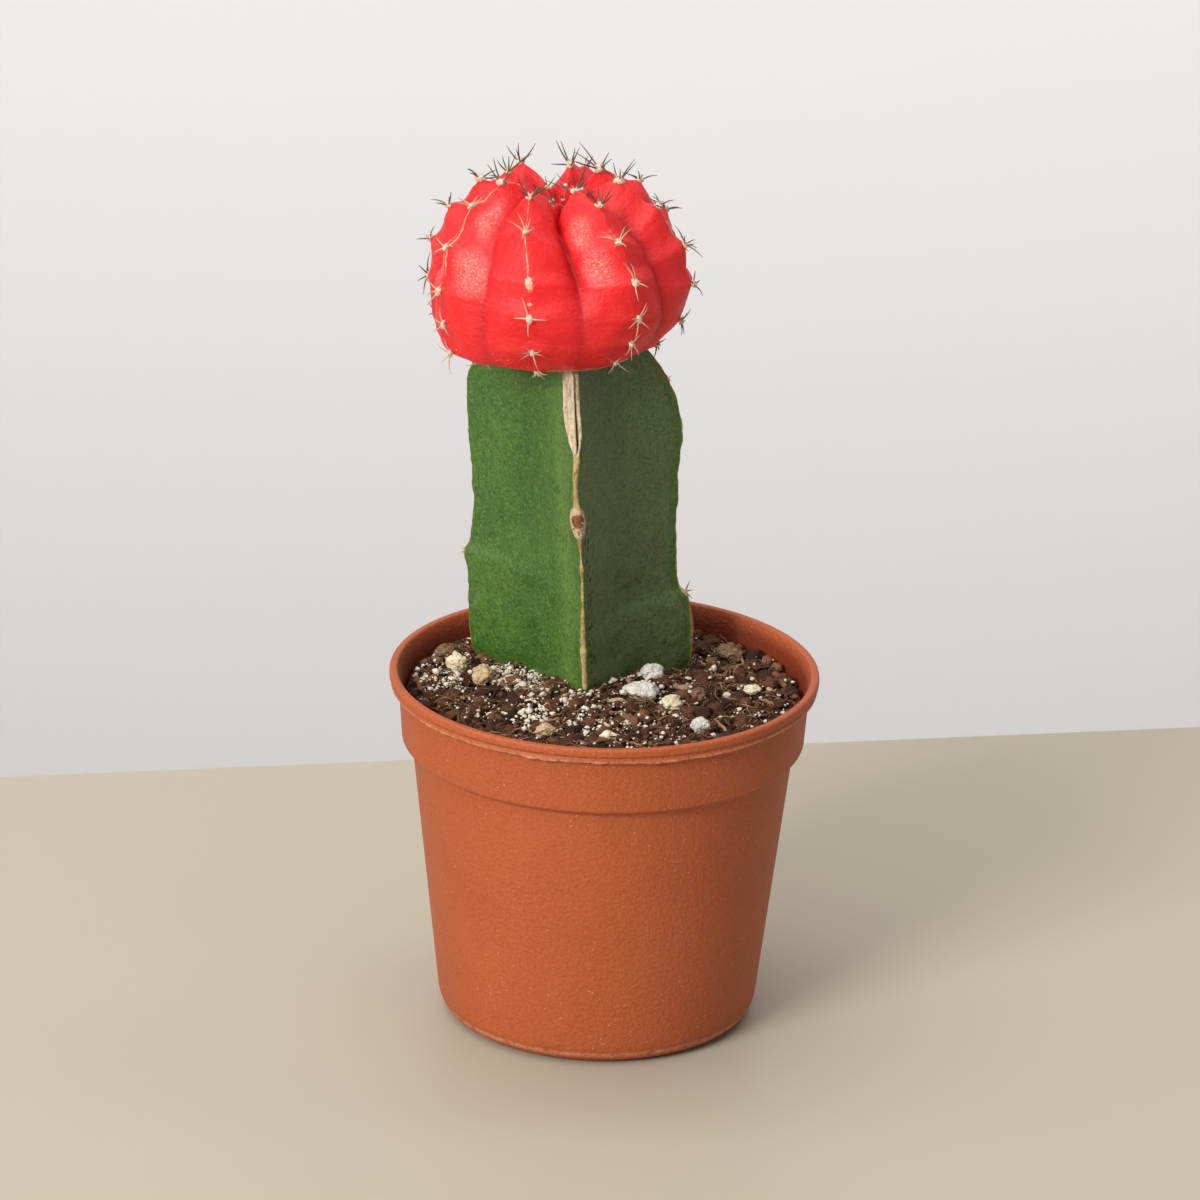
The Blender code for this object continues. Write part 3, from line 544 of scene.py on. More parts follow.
def make_pot():
    inner = [(0, BASE_RECESS + 0.95, 0), (20.3, BASE_RECESS + 0.95, 1.2), (wall_r(3.6) - WALL_T, 3.9, 1.8), (wall_r(STEP_Z) - WALL_T, STEP_Z, 0.4), (COLLAR_FOOT_R - WALL_T, STEP_Z + 1.0, 0.5), (COLLAR_R - WALL_T, 51.6, 3.0), (LIP_INNER_R, RIM_Z - 0.2, 0.5), (LIP_INNER_R + 0.25, RIM_Z, 0.2)]
    lip = [(RIM_R - 0.05, RIM_Z, 0.5), (RIM_R, 53.85, 0.3), (RIM_R - 0.38, 53.55, 0.15), (RIM_R - 0.20, 53.15, 0.25), (RIM_R - 0.35, 52.65, 0.3), (COLLAR_R + 0.25, 52.50, 0.2), (COLLAR_R + 0.03, 52.0, 0.3)]
    outer = [(COLLAR_FOOT_R, COLLAR_FOOT_Z, 0.42), (WALL_TOP_R + 0.02, WALL_TOP_Z, 0.4), (wall_r(BASE_FILLET), BASE_FILLET, 0.6), (wall_r(BASE_FILLET) - 0.75, 0.85, 1.1), (wall_r(BASE_FILLET) - BASE_FILLET, 0.0, 1.1), (19.3, 0.0, 0.25), (18.6, BASE_RECESS, 0.25), (0, BASE_RECESS, 0)]
    profile = np.array(rounded(inner + lip + outer, 6))
    # long straight runs get points in between
    fine = [profile[0]]
    for a, b in zip(profile, profile[1:]):
        parts = max(1, int(np.linalg.norm(b - a) / 1.6))
        fine += [a + (b - a) * k / parts for k in range(1, parts + 1)]
    profile = np.array(fine)
    columns = 256
    turns = 2 * np.pi * np.arange(columns) / columns
    rows = len(profile)
    r, z = profile[:, 0], profile[:, 1]
    # which side of the wall a row is on: rows up to the highest point of the profile are inside
    is_inside = np.array([1.0 if k <= np.argmax(z) else 0.0 for k in range(rows)])
    R = np.repeat(r[:, None], columns, 1)
    Z = np.repeat(z[:, None], columns, 1)
    T = np.repeat(turns[None, :], rows, 0)
    front = T + np.pi / 2  # 0 where the wall faces the front
    front = (front + np.pi) % (2 * np.pi) - np.pi
    outside = 1 - is_inside[:, None]
    # the lip: slightly uneven, with a ragged moulding edge hanging under it at the front
    ragged = np.array([noise.noise((5.5 * math.cos(a), 5.5 * math.sin(a), 2.0)) + 0.8 * noise.noise((19 * math.cos(a), 19 * math.sin(a), 7.0)) + 0.6 * noise.noise((47 * math.cos(a), 47 * math.sin(a), 3.0)) for a in turns])
    here = np.clip(1 - (np.abs((turns + np.pi / 2 + np.pi) % (2 * np.pi) - np.pi + 0.15) / 1.1) ** 3, 0.12, 1)
    under = outside * np.exp(-(((Z - 52.8) / 0.40) ** 2)) * (R > COLLAR_R + 0.2)
    R += under * (0.22 * np.clip(ragged + 0.15, 0, 1) * here)[None, :]
    Z -= under * (0.34 * np.clip(ragged + 0.1, -0.2, 1) * here)[None, :]
    wave = np.array([noise.noise((1.3 * math.cos(a), 1.3 * math.sin(a), 11.0)) for a in turns])
    R += 0.12 * wave[None, :] * np.clip((Z - 20) / 30, 0, 1)
    # a shallow moulding line just above the base
    R -= outside * 0.10 * np.exp(-(((Z - 1.75) / 0.16) ** 2)) * (R > 22)
    X, Y = R * np.cos(T), R * np.sin(T)
    verts, faces = [], []
    top = (rows - 2) * columns
    verts = np.stack([X[1:-1], Y[1:-1], Z[1:-1]], -1).reshape(-1, 3)
    faces = [f[::-1] for f in grid_faces(rows - 2, columns)]
    centre_in, centre_out = len(verts), len(verts) + 1
    verts = np.concatenate([verts, [[0, 0, profile[0][1]], [0, 0, profile[-1][1]]]])
    for c in range(columns):
        d = (c + 1) % columns
        faces.append((centre_in, c, d))
        faces.append((centre_out, (rows - 3) * columns + d, (rows - 3) * columns + c))
    # where the inner wall's painted shade lies, fading out over the top of the lip
    inside = np.repeat(is_inside[1:-1], columns)
    inside = np.concatenate([inside * (1 - smoothstep(52.6, 54.7, verts[:-2, 2])), [1, 0]])
    # pale along the base moulding line, and along the ridge under the lip, where the pale flash is partly a painted
    # highlight
    pale = np.exp(-(((verts[:, 2] - 1.75) / 0.22) ** 2)) * (1 - inside)
    pale += 0.8 * (np.exp(-(((verts[:, 2] - 52.85) / 0.25) ** 2)) * (1 - inside) * (np.hypot(verts[:, 0], verts[:, 1]) > 31.9))
    obj = mesh_object("nursery_pot", verts, faces, POT, {"inside": inside, "pale": np.clip(pale, 0, 1)})
    # drain holes
    bm = bmesh.new()
    spots = [(0.0, 0.0)] + [(DRAIN_CIRCLE_R * math.cos(math.radians(45 + 90 * k)), DRAIN_CIRCLE_R * math.sin(math.radians(45 + 90 * k))) for k in range(DRAIN_COUNT)]
    for x, y in spots:
        bmesh.ops.create_cone(bm, cap_ends=True, segments=40, radius1=DRAIN_R * MM, radius2=DRAIN_R * MM, depth=6 * MM, matrix=Matrix.Translation((x * MM, y * MM, 1.0 * MM)))
    mesh = bpy.data.meshes.new("drains")
    bm.to_mesh(mesh)
    bm.free()
    cutter = bpy.data.objects.new("drains", mesh)
    bpy.context.scene.collection.objects.link(cutter)
    boolean = obj.modifiers.new("drains", "BOOLEAN")
    boolean.object = cutter
    boolean.operation = "DIFFERENCE"
    boolean.solver = "EXACT"
    bpy.context.view_layer.update()
    done = bpy.data.meshes.new_from_object(obj.evaluated_get(bpy.context.evaluated_depsgraph_get()))
    obj.modifiers.clear()
    obj.data = done
    bpy.data.objects.remove(cutter, do_unlink=True)
    done.shade_smooth()
    done.set_sharp_from_angle(angle=math.radians(50))
    return obj


# =====================================================================================================================
# Growing mix
# =====================================================================================================================
SOIL_EDGE_Z = 51.3


def soil_z(x, y):
    """Height of the surface of the mix, as in the solid."""
    r = np.hypot(x, y)
    z = SOIL_EDGE_Z - 0.7 * (y / 30)
    z = z + 2.7 * np.exp(-((x + 3) ** 2 + (y + 9) ** 2) / 130)
    z = z + 1.2 * np.exp(-((x + 12.9) ** 2 + (y - 5.0) ** 2) / 14)
    z = z + 1.3 * np.exp(-((x - 7) ** 2 + (y - 1) ** 2) / 30)
    z = z + 1.5 * np.exp(-((x - 4) ** 2 + (y + 24) ** 2) / 160)
    z = z + 0.9 * np.exp(-((x + 23) ** 2 + (y - 9) ** 2) / 50)
    flat = np.stack(np.broadcast_arrays(x, y), -1).reshape(-1, 2)
    lumps = np.array([noise.noise((a * 0.33, b * 0.33, 5.0)) + 0.5 * noise.noise((a * 0.7, b * 0.7, 9.0)) for a, b in flat]).reshape(np.shape(r))
    return z + 0.75 * lumps * (1 - 0.5 * (r / 30) ** 4)


def make_soil():
    """The body of the mix, with its crumbly surface; crumbs, fibres and grit lie on it."""
    columns = 300
    radii = np.concatenate([np.linspace(0.4, 29.75, 112)])
    turns = 2 * np.pi * np.arange(columns) / columns
    R, T = np.meshgrid(radii, turns, indexing="ij")
    X, Y = R * np.cos(T), R * np.sin(T)
    flat = np.stack([X.ravel(), Y.ravel(), np.zeros(X.size)], -1)
    Z = soil_z(X, Y)
    rough = noise_at(flat, 0.9, (3, 1, 0), 3).reshape(X.shape)
    clods = np.abs(noise_at(flat, 0.45, (0, 9, 4), 2)).reshape(X.shape)
    Z = Z + 0.65 * rough + 0.9 * clods - 0.50
    top = np.stack([X, Y, Z], -1)[::-1]  # from the wall inwards
    sides = []
    for z, r in ((2.3, 19.9), (4.6, wall_r(4.2) - WALL_T - 0.35), (20, wall_r(20) - WALL_T - 0.35), (STEP_Z - 0.3, wall_r(STEP_Z) - WALL_T - 0.35), (STEP_Z + 1.3, COLLAR_FOOT_R - WALL_T - 0.35), (49.6, COLLAR_FOOT_R - WALL_T - 0.1)):
        ring = np.stack([r * np.cos(turns), r * np.sin(turns), np.full(columns, z)], -1)
        sides.append(ring)
    rings = np.concatenate([np.array(sides), top])
    rows = len(rings)
    verts = rings.reshape(-1, 3)
    faces = grid_faces(rows, columns)
    verts = np.concatenate([verts, [[0, 0, 2.1], [0, 0, float(Z[0].mean())]]])
    low, high = len(verts) - 2, len(verts) - 1
    for c in range(columns):
        d = (c + 1) % columns
        faces.append((low, d, c))
        faces.append((high, (rows - 1) * columns + c, (rows - 1) * columns + d))
    tint = 0.30 + 0.25 * noise_at(verts, 0.6, (0, 0, 8), 2)
    return mesh_object("growing_mix", verts, faces, PEAT, {"tint": tint})


# =====================================================================================================================
# Rootstock
# =====================================================================================================================
STOCK_TOP_Z, STUB_Z = 104.5, 29.0
LEFT_EDGE = ((29, -16.5), (40, -18.0), (50.5, -19.1), (55, -20.4), (60.5, -21.0), (66, -21.2), (68.6, -21.6), (70.6, -20.7), (76, -20.4), (82, -20.7), (90, -21.6), (97, -21.5), (99.5, -20.9), (102, -19.3), (104.5, -17.2))
RIGHT_EDGE = ((29, 10.5), (40, 12.0), (50.5, 12.9), (55, 13.3), (59, 13.1), (61.4, 12.7), (62.9, 12.0), (64.2, 10.9), (67, 10.4), (75, 10.2), (82, 10.5), (88, 10.9), (92.5, 10.2), (96.5, 8.8), (100.5, 6.6), (104.5, 3.6))
FRONT_EDGE = ((29, -2.6), (53, -2.8), (63, -3.3), (72, -3.6), (78, -4.1), (82, -4.5), (88, -5.0), (92, -4.9), (99, -5.3), (104.5, -5.7))
FRONT_Y, LEFT_Y, RIGHT_Y = -8.4, 13.0, 12.0
FACE_HOLLOW = (1.5, 1.6, 2.6)
EDGE_HALF = 1.5
SCAR_FOOT_Z = 92.0
NODE_Z = 81.4


def rib_crests(z):
    scar = max(0.0, (z - SCAR_FOOT_Z) / (STOCK_TOP_Z - SCAR_FOOT_Z))
    shaved = max(0.0, (z - 97.0) / (STOCK_TOP_Z - 97.0))
    left = np.array([float(spline(LEFT_EDGE, z)), LEFT_Y - 1.6 * shaved])
    front = np.array([float(spline(FRONT_EDGE, z)), FRONT_Y + 1.5 * scar])
    right = np.array([float(spline(RIGHT_EDGE, z)), RIGHT_Y - 1.8 * shaved])
    return left, front, right


def section(z, face_pts, edge_pts):
    """Outline at a height, with each point's rib (0 left, 1 front, 2 right), signed distance from that rib's crest, and place across its face."""
    crests = rib_crests(z)
    scar = max(0.0, (z - SCAR_FOOT_Z) / (STOCK_TOP_Z - SCAR_FOOT_Z))
    halves = (EDGE_HALF, EDGE_HALF + 0.5 * scar, EDGE_HALF)
    faces = []
    for i in range(3):
        a, b = crests[i], crests[(i + 1) % 3]
        along = b - a
        length = np.linalg.norm(along)
        inward = np.array([-along[1], along[0]]) / length
        low, high = halves[i] / length, 1 - halves[(i + 1) % 3] / length
        t = low + (high - low) * (0.5 - 0.5 * np.cos(np.pi * np.linspace(0, 1, face_pts)))
        faces.append((a + along * t[:, None] + inward * (FACE_HOLLOW[i] * np.sin(np.pi * t) ** 1.6)[:, None], t, length))
    points, rib, across, place, face = [], [], [], [], []
    for i in range(3):
        p, t, length = faces[i]
        points.append(p)
        j = (i + 1) % 3
        near = t < 0.5
        rib.append(np.where(near, i, j))
        across.append(np.where(near, t * length, -(1 - t) * length))
        place.append(t)
        face.append(np.full(len(t), i))
        start, end = faces[i][0][-1], faces[j][0][0]
        middle = (start + end) / 2
        control = middle + (crests[j] - middle) * 2
        s = (np.arange(1, edge_pts + 1) / (edge_pts + 1))[:, None]
        points.append(start * (1 - s) ** 2 + control * 2 * s * (1 - s) + end * s**2)
        rib.append(np.full(edge_pts, j))
        across.append((s[:, 0] * 2 - 1) * halves[j])
        place.append(np.where(s[:, 0] < 0.5, 1.0, 0.0))
        face.append(np.where(s[:, 0] < 0.5, i, j))
    return tuple(np.concatenate(v) for v in (points, rib, across, place, face))


def make_stock():
    face_pts, edge_pts = 74, 21
    heights = [STUB_Z, STUB_Z + 1.0, STUB_Z + 2.6, STUB_Z + 5.5, 40.0, 46.0]
    shrink = [0.42, 0.62, 0.78, 0.92, 1.0, 1.0]
    rest = np.linspace(49.0, STOCK_TOP_Z, 262)
    heights = np.concatenate([heights, rest])
    rows = []
    for k, z in enumerate(heights):
        points, rib, across, place, face = section(z, face_pts, edge_pts)
        if k < len(shrink):
            centre = points.mean(0)
            points = centre + (points - centre) * shrink[k]
        rows.append((points, rib, across, place, face))
    P = np.array([r[0] for r in rows])
    rib = np.array([r[1] for r in rows])
    across = np.array([r[2] for r in rows])
    place = np.array([r[3] for r in rows])
    face = np.array([r[4] for r in rows])
    Z = np.repeat(heights[:, None], P.shape[1], 1)
    columns = P.shape[1]
    along = np.roll(P, -1, 1) - np.roll(P, 1, 1)
    out = np.stack([along[..., 1], -along[..., 0]], -1)
    out /= np.linalg.norm(out, axis=-1)[..., None]
    flat = np.stack([P[..., 0], P[..., 1], Z], -1).reshape(-1, 3)
    # the skin: gentle swells, and fine unevenness that grows towards the ribs
    push = 0.34 * noise_at(flat, 0.13, (4, 2, 1), 2).reshape(Z.shape)
    push += 0.10 * noise_at(flat, 0.55, (1, 6, 3), 2).reshape(Z.shape)
    wobble = noise_at(np.stack([rib.ravel() * 9.0, np.zeros(rib.size), flat[:, 2]], -1), 0.42, (0, 0, 0), 3).reshape(Z.shape)
    push += 0.30 * wobble * np.exp(-((across / 1.1) ** 2)) * np.where(rib == 1, 0.4, 0.45)
    d = across + 0.06 * wobble
    # corky line down each rib
    width = np.where(rib == 1, 0.54, np.where(rib == 2, 0.34, 0.22))
    width = width * (1 + np.where(rib == 1, 0.22, 0.5) * wobble)
    width = np.where(rib == 2, width + 0.50 * np.exp(-(((Z - 57) / 5.5) ** 2)) + 0.5 * np.exp(-(((Z - 98) / 2.6) ** 2)), width)
    width = np.where(rib == 1, width * (1 - 0.2 * smoothstep(60, 75, Z)) + 0.25 * np.exp(-(((Z - 89) / 4.0) ** 2)), width)
    width = np.where(rib == 0, width + 0.20 * np.exp(-(((Z - 69.5) / 1.6) ** 2)) + 0.3 * np.exp(-(((Z - 100) / 1.8) ** 2)), width)
    cork = np.clip(1.0 - 0.5 * np.abs(d) / width, 0, 1)
    push += 0.12 * smoothstep(0.4, 0.7, cork)
    rust = np.where(rib == 2, smoothstep(92, 95, Z) + 0.7 * smoothstep(66, 62, Z), np.where(rib == 0, 0.85, 0.12))
    # areole on the front rib
    dz = Z - NODE_Z
    knob = np.exp(-((d / 1.7) ** 2 + (dz / 2.3) ** 2)) * (rib == 1)
    push += 0.85 * knob
    oval = np.hypot(d / 1.55, dz / 2.35) * (1 + 0.25 * wobble)
    areole = np.clip(1.6 - 1.1 * oval, 0, 1) * (rib == 1)
    heart = np.clip(1.5 - 1.0 * np.hypot(d / 0.85, (dz - 0.5) / 1.15), 0, 1) * (rib == 1)
    push += 0.16 * np.exp(-(((oval - 0.78) / 0.22) ** 2)) * (rib == 1)
    push -= 0.22 * np.exp(-((oval / 0.42) ** 2)) * (rib == 1)
    # smaller old areoles on the side ribs
    for where, r0, size in ((68.6, 0, 0.5), (63.2, 2, 0.85), (97.5, 2, 0.6), (88.5, 0, 0.4)):
        local = np.exp(-((d / (0.9 * size)) ** 2 + ((Z - where) / size) ** 2)) * (rib == r0)
        areole = np.maximum(areole, np.clip(1.2 * local, 0, 1))
        push += 0.35 * size * local
    # the healed bevel at the top of the front rib: two lips with a groove between them
    s = np.clip((Z - SCAR_FOOT_Z) / (STOCK_TOP_Z - SCAR_FOOT_Z), 0, 1)
    half = np.where(d < 0, 0.30 + 4.0 * s**0.6, 0.28 + 1.30 * s**0.6)
    u = np.where(rib == 1, d / half, 9.0)
    scar = np.clip(1.45 - 0.95 * np.abs(u), 0, 1) * smoothstep(91.0, 93.0, Z)
    groove_at = 0.30
    g = np.exp(-(((u - groove_at) * half / 0.27) ** 2)) * smoothstep(90.5, 94.5, Z)
    push += (rib == 1) * smoothstep(92, 94, Z) * (0.22 * np.exp(-(((np.abs(u) - 0.85) * half / 0.32) ** 2)) + 0.10 * np.exp(-((u / 0.6) ** 2)))
    push -= 0.85 * g * (rib == 1)
    groove = np.clip(1.1 * g, 0, 1) * (rib == 1)
    # the cut top rounds over a little
    P = P + out * (push * smoothstep(46, 50, Z) * (1 - 0.0 * Z))[..., None]
    tip = smoothstep(STOCK_TOP_Z - 0.8, STOCK_TOP_Z, Z)
    centre = P.mean(1, keepdims=True)
    P = P - (P - centre) * (0.05 * tip**2)[..., None]
    verts = np.concatenate([P, Z[..., None]], -1).reshape(-1, 3)
    faces = grid_faces(len(heights), columns)
    faces.append(tuple(range(columns))[::-1])
    top = (len(heights) - 1) * columns
    verts = np.concatenate([verts, [[*P[-1].mean(0), STOCK_TOP_Z]]])
    for c in range(columns):
        faces.append((len(verts) - 1, top + c, top + (c + 1) % columns))
    pad = lambda a: np.concatenate([np.asarray(a, float).ravel(), [0.0]])
    # painted shade in the hollow middle of each face, and painted light on the faces beside the front rib
    painted_hollow_shade = np.exp(-(((place - 0.47) / 0.13) ** 2)) * (np.abs(across) > 3)
    painted_light_band = np.where(face != 1, np.exp(-(((np.abs(across) - 4.3) / 2.4) ** 2)), 0.35 * np.exp(-(((across - 1.6) / 1.2) ** 2))) * (rib == 1) * smoothstep(0.3, 0.9, np.abs(across))
    # painted shade: a greyer tone on the right face, and at half strength on the back face
    grey = np.where(face == 1, 1.0, np.where(face == 2, 0.5, 0.0)) * smoothstep(0.6, 2.2, np.abs(across))
    fleck = np.where(face == 1, np.exp(-(((across - 2.1) / 1.1) ** 2)) * (rib == 1), 0) * smoothstep(50, 54, Z) * smoothstep(84, 78, Z)
    buried = smoothstep(50.5, 48.5, Z)
    obj = mesh_object("rootstock", verts, faces, STEM, {"cork": pad(cork), "rust": pad(np.clip(rust, 0, 1)), "areole": pad(areole), "scar": pad(scar), "groove": pad(groove), "painted_hollow_shade": pad(painted_hollow_shade), "painted_light_band": pad(painted_light_band), "heart": pad(heart), "grey": pad(grey), "fleck": pad(fleck), "buried": pad(buried)})
    # roots join the buried stub
    for turn, reach, drop, thick in ((0.35, 14.0, 15.0, 1.5), (1.55, 13.0, 17.0, 1.2), (2.75, 13.5, 14.0, 1.6), (4.0, 14.5, 16.0, 1.3), (5.2, 15.0, 13.5, 1.5)):
        t = np.linspace(0, 1, 16)
        away = 3.0 + (reach - 3.0) * t
        path = np.stack([-3.0 + away * math.cos(turn), 4.5 + away * math.sin(turn), STUB_Z + 5.0 - drop * t**1.5], -1)
        path[1:, :2] += 0.5 * np.array([[noise.noise((k * 0.5, turn * 3, 1)), noise.noise((k * 0.5, turn * 3, 7))] for k in range(1, 16)])
        v, f = tube(path, thick * (1 - 0.62 * t), 12)
        mesh = bpy.data.meshes.new("root")
        mesh.from_pydata((v * MM).tolist(), [], f)
        piece = bpy.data.objects.new("root", mesh)
        bpy.context.scene.collection.objects.link(piece)
        boolean = obj.modifiers.new("root", "BOOLEAN")
        boolean.object = piece
        boolean.operation = "UNION"
        boolean.solver = "EXACT"
        mesh.materials.append(STEM)
    bpy.context.view_layer.update()
    done = bpy.data.meshes.new_from_object(obj.evaluated_get(bpy.context.evaluated_depsgraph_get()))
    for modifier in obj.modifiers:
        bpy.data.objects.remove(modifier.object, do_unlink=True)
    obj.modifiers.clear()
    obj.data = done
    done.shade_smooth()
    return obj


# =====================================================================================================================
# Scion
# =====================================================================================================================
SCION_X, SCION_Y, SCION_Z = -8.1, 4.0, 117.2
RIBS = 8
RIB_AT = (-12.0, 35.0, 77.0, 120.0, 162.0, 213.0, 257.0, 300.0)
TWIST = (-2.3, 1.2)
CREST = ((0.0, 9.6), (2.2, 10.4), (4.6, 12.8), (7.4, 13.9), (10.6, 13.2), (14.0, 11.0), (17.1, 7.6), (19.3, 3.7), (20.1, 0.0), (19.7, -3.4), (18.2, -6.7), (15.7, -9.6), (13.2, -11.4), (11.2, -12.4))
FURROW = ((0.0, 9.3), (2.0, 9.2), (4.3, 9.4), (7.0, 9.6), (9.8, 9.2), (12.4, 7.7), (14.7, 5.3), (16.4, 2.6), (17.3, 0.0), (17.6, -3.1), (16.7, -6.3), (14.8, -9.2), (12.8, -11.2), (11.2, -12.4))
DEPTHS = ((1.15, 0.35), (0.9, 0.55), (0.95, 0.6), (1.0, 0.6), (1.0, 0.6), (1.0, 0.6), (0.9, 0.55), (0.85, 0.3))
CLEFT = 1.3
AREOLES = ((62, 42, 15, -6, -28, -51), (75, 57, 36, 13, -9, -26, -43), (66, 45, 21, -2, -26, -44), (70, 48, 26, 3, -20, -42), (71, 50, 28, 6, -16, -38), (60, 40, 18, -4, -26, -46), (67, 54, 33, 10, -12, -31, -46), (64, 47, 22, -3, -22, -38, -54))
TUBERCLE = 0.95
SAG = 2.5


def meridian(points, u):
    at = np.asarray(u) * (len(points) - 1)
    return spline([(k, p[0]) for k, p in enumerate(points)], at), spline([(k, p[1]) for k, p in enumerate(points)], at)


def tubercles(rib, latitude):
    """Swell along a rib: 1 on each tubercle's lip, falling gently below it and rising steeply to the next one."""
    steps = sorted(AREOLES[rib])
    knots = [(-90, 0.0), (steps[0] - 13, 0.0)]
    for low, high in zip(steps, steps[1:]):
        knots += [(low, 1.0), (low + 0.38 * (high - low), 0.0)]
    knots += [(steps[-1], 1.0), (steps[-1] + 9, 0.15), (90.5, 0.0)]
    return 1 - np.maximum(0.0, 1 - spline(knots, latitude)) ** 0.75


def scion_shape(place, u):
    """Skin points from the rib coordinate (whole numbers are crests, halves are furrows) and u (0 crown, 1 cut face), with what the material needs."""
    place, u = np.broadcast_arrays(np.asarray(place, float), np.asarray(u, float))
    rib = np.floor(place + 0.5).astype(int)
    side = 2 * (place - rib)
    across = np.abs(side)
    which = rib % RIBS
    furrow = np.where(side < 0, which - 1, which) % RIBS
    outer, inner = meridian(CREST, u), meridian(FURROW, u)
    latitude = np.degrees(np.arctan2(outer[1] / 14.5, outer[0] / 20.1))
    above, below = np.array([d[0] for d in DEPTHS])[furrow], np.array([d[1] for d in DEPTHS])[furrow]
    fall = across ** (1.25 + 0.7 * smoothstep(0.55, 0.9, u)) * (above + (below - above) * smoothstep(0.5, 0.8, u))
    r = outer[0] + (inner[0] - outer[0]) * fall
    z = outer[1] + (inner[1] - outer[1]) * fall
    wave = np.zeros(u.shape)
    nearest = np.full(u.shape, 99.0)
    for k in range(RIBS):
        mask = which == k
        wave = np.where(mask, tubercles(k, latitude), wave)
        for where in AREOLES[k]:
            nearest = np.where(mask & (np.abs(latitude - where) < np.abs(nearest)), latitude - where, nearest)
    narrow = 1 - 0.8 * across**1.5
    narrow = narrow + (0.8 * np.exp(-((across / 0.35) ** 2)) - narrow) * (1 - smoothstep(-10, 8, latitude))
    bump = TUBERCLE * (wave - 0.75) * narrow * np.minimum(1.0, 6 * u) * np.minimum(1.0, 8 * (1 - u))
    bump = bump - (furrow == 0) * CLEFT * np.exp(-(((1 - across) / 0.14) ** 2)) * smoothstep(-12, 22, latitude) * np.minimum(1.0, 6 * u)
    r = r + bump * np.cos(np.radians(latitude))
    z = z + bump * np.sin(np.radians(latitude))
    turn = np.radians(np.interp(place % RIBS, range(RIBS + 1), (*RIB_AT, RIB_AT[0] + 360)))
    lean = 0.65 + 0.35 * np.cos(turn)
    turn = turn + lean * (TWIST[0] * np.cos(turn) + TWIST[1] * np.sin(turn)) / np.maximum(outer[0], 7.0) * smoothstep(0, 60, latitude)
    away = (np.degrees(turn) + 75 + 180) % 360 - 180
    sag = SAG * np.exp(-((away / 50) ** 2)) * (1 - smoothstep(-42, -12, latitude)) * np.minimum(1.0, 8 * (1 - u))
    r = r + 0.75 * sag
    z = z - 0.66 * sag
    points = np.stack([SCION_X + r * np.sin(turn), SCION_Y - r * np.cos(turn), SCION_Z + z], -1)
    return points, which, side, latitude, nearest


def u_of_latitude(degrees):
    us = np.linspace(0, 1, 2001)
    outer = meridian(CREST, us)
    lat = np.degrees(np.arctan2(outer[1] / 14.5, outer[0] / 20.1))
    return float(us[np.argmin(np.abs(lat - degrees))])


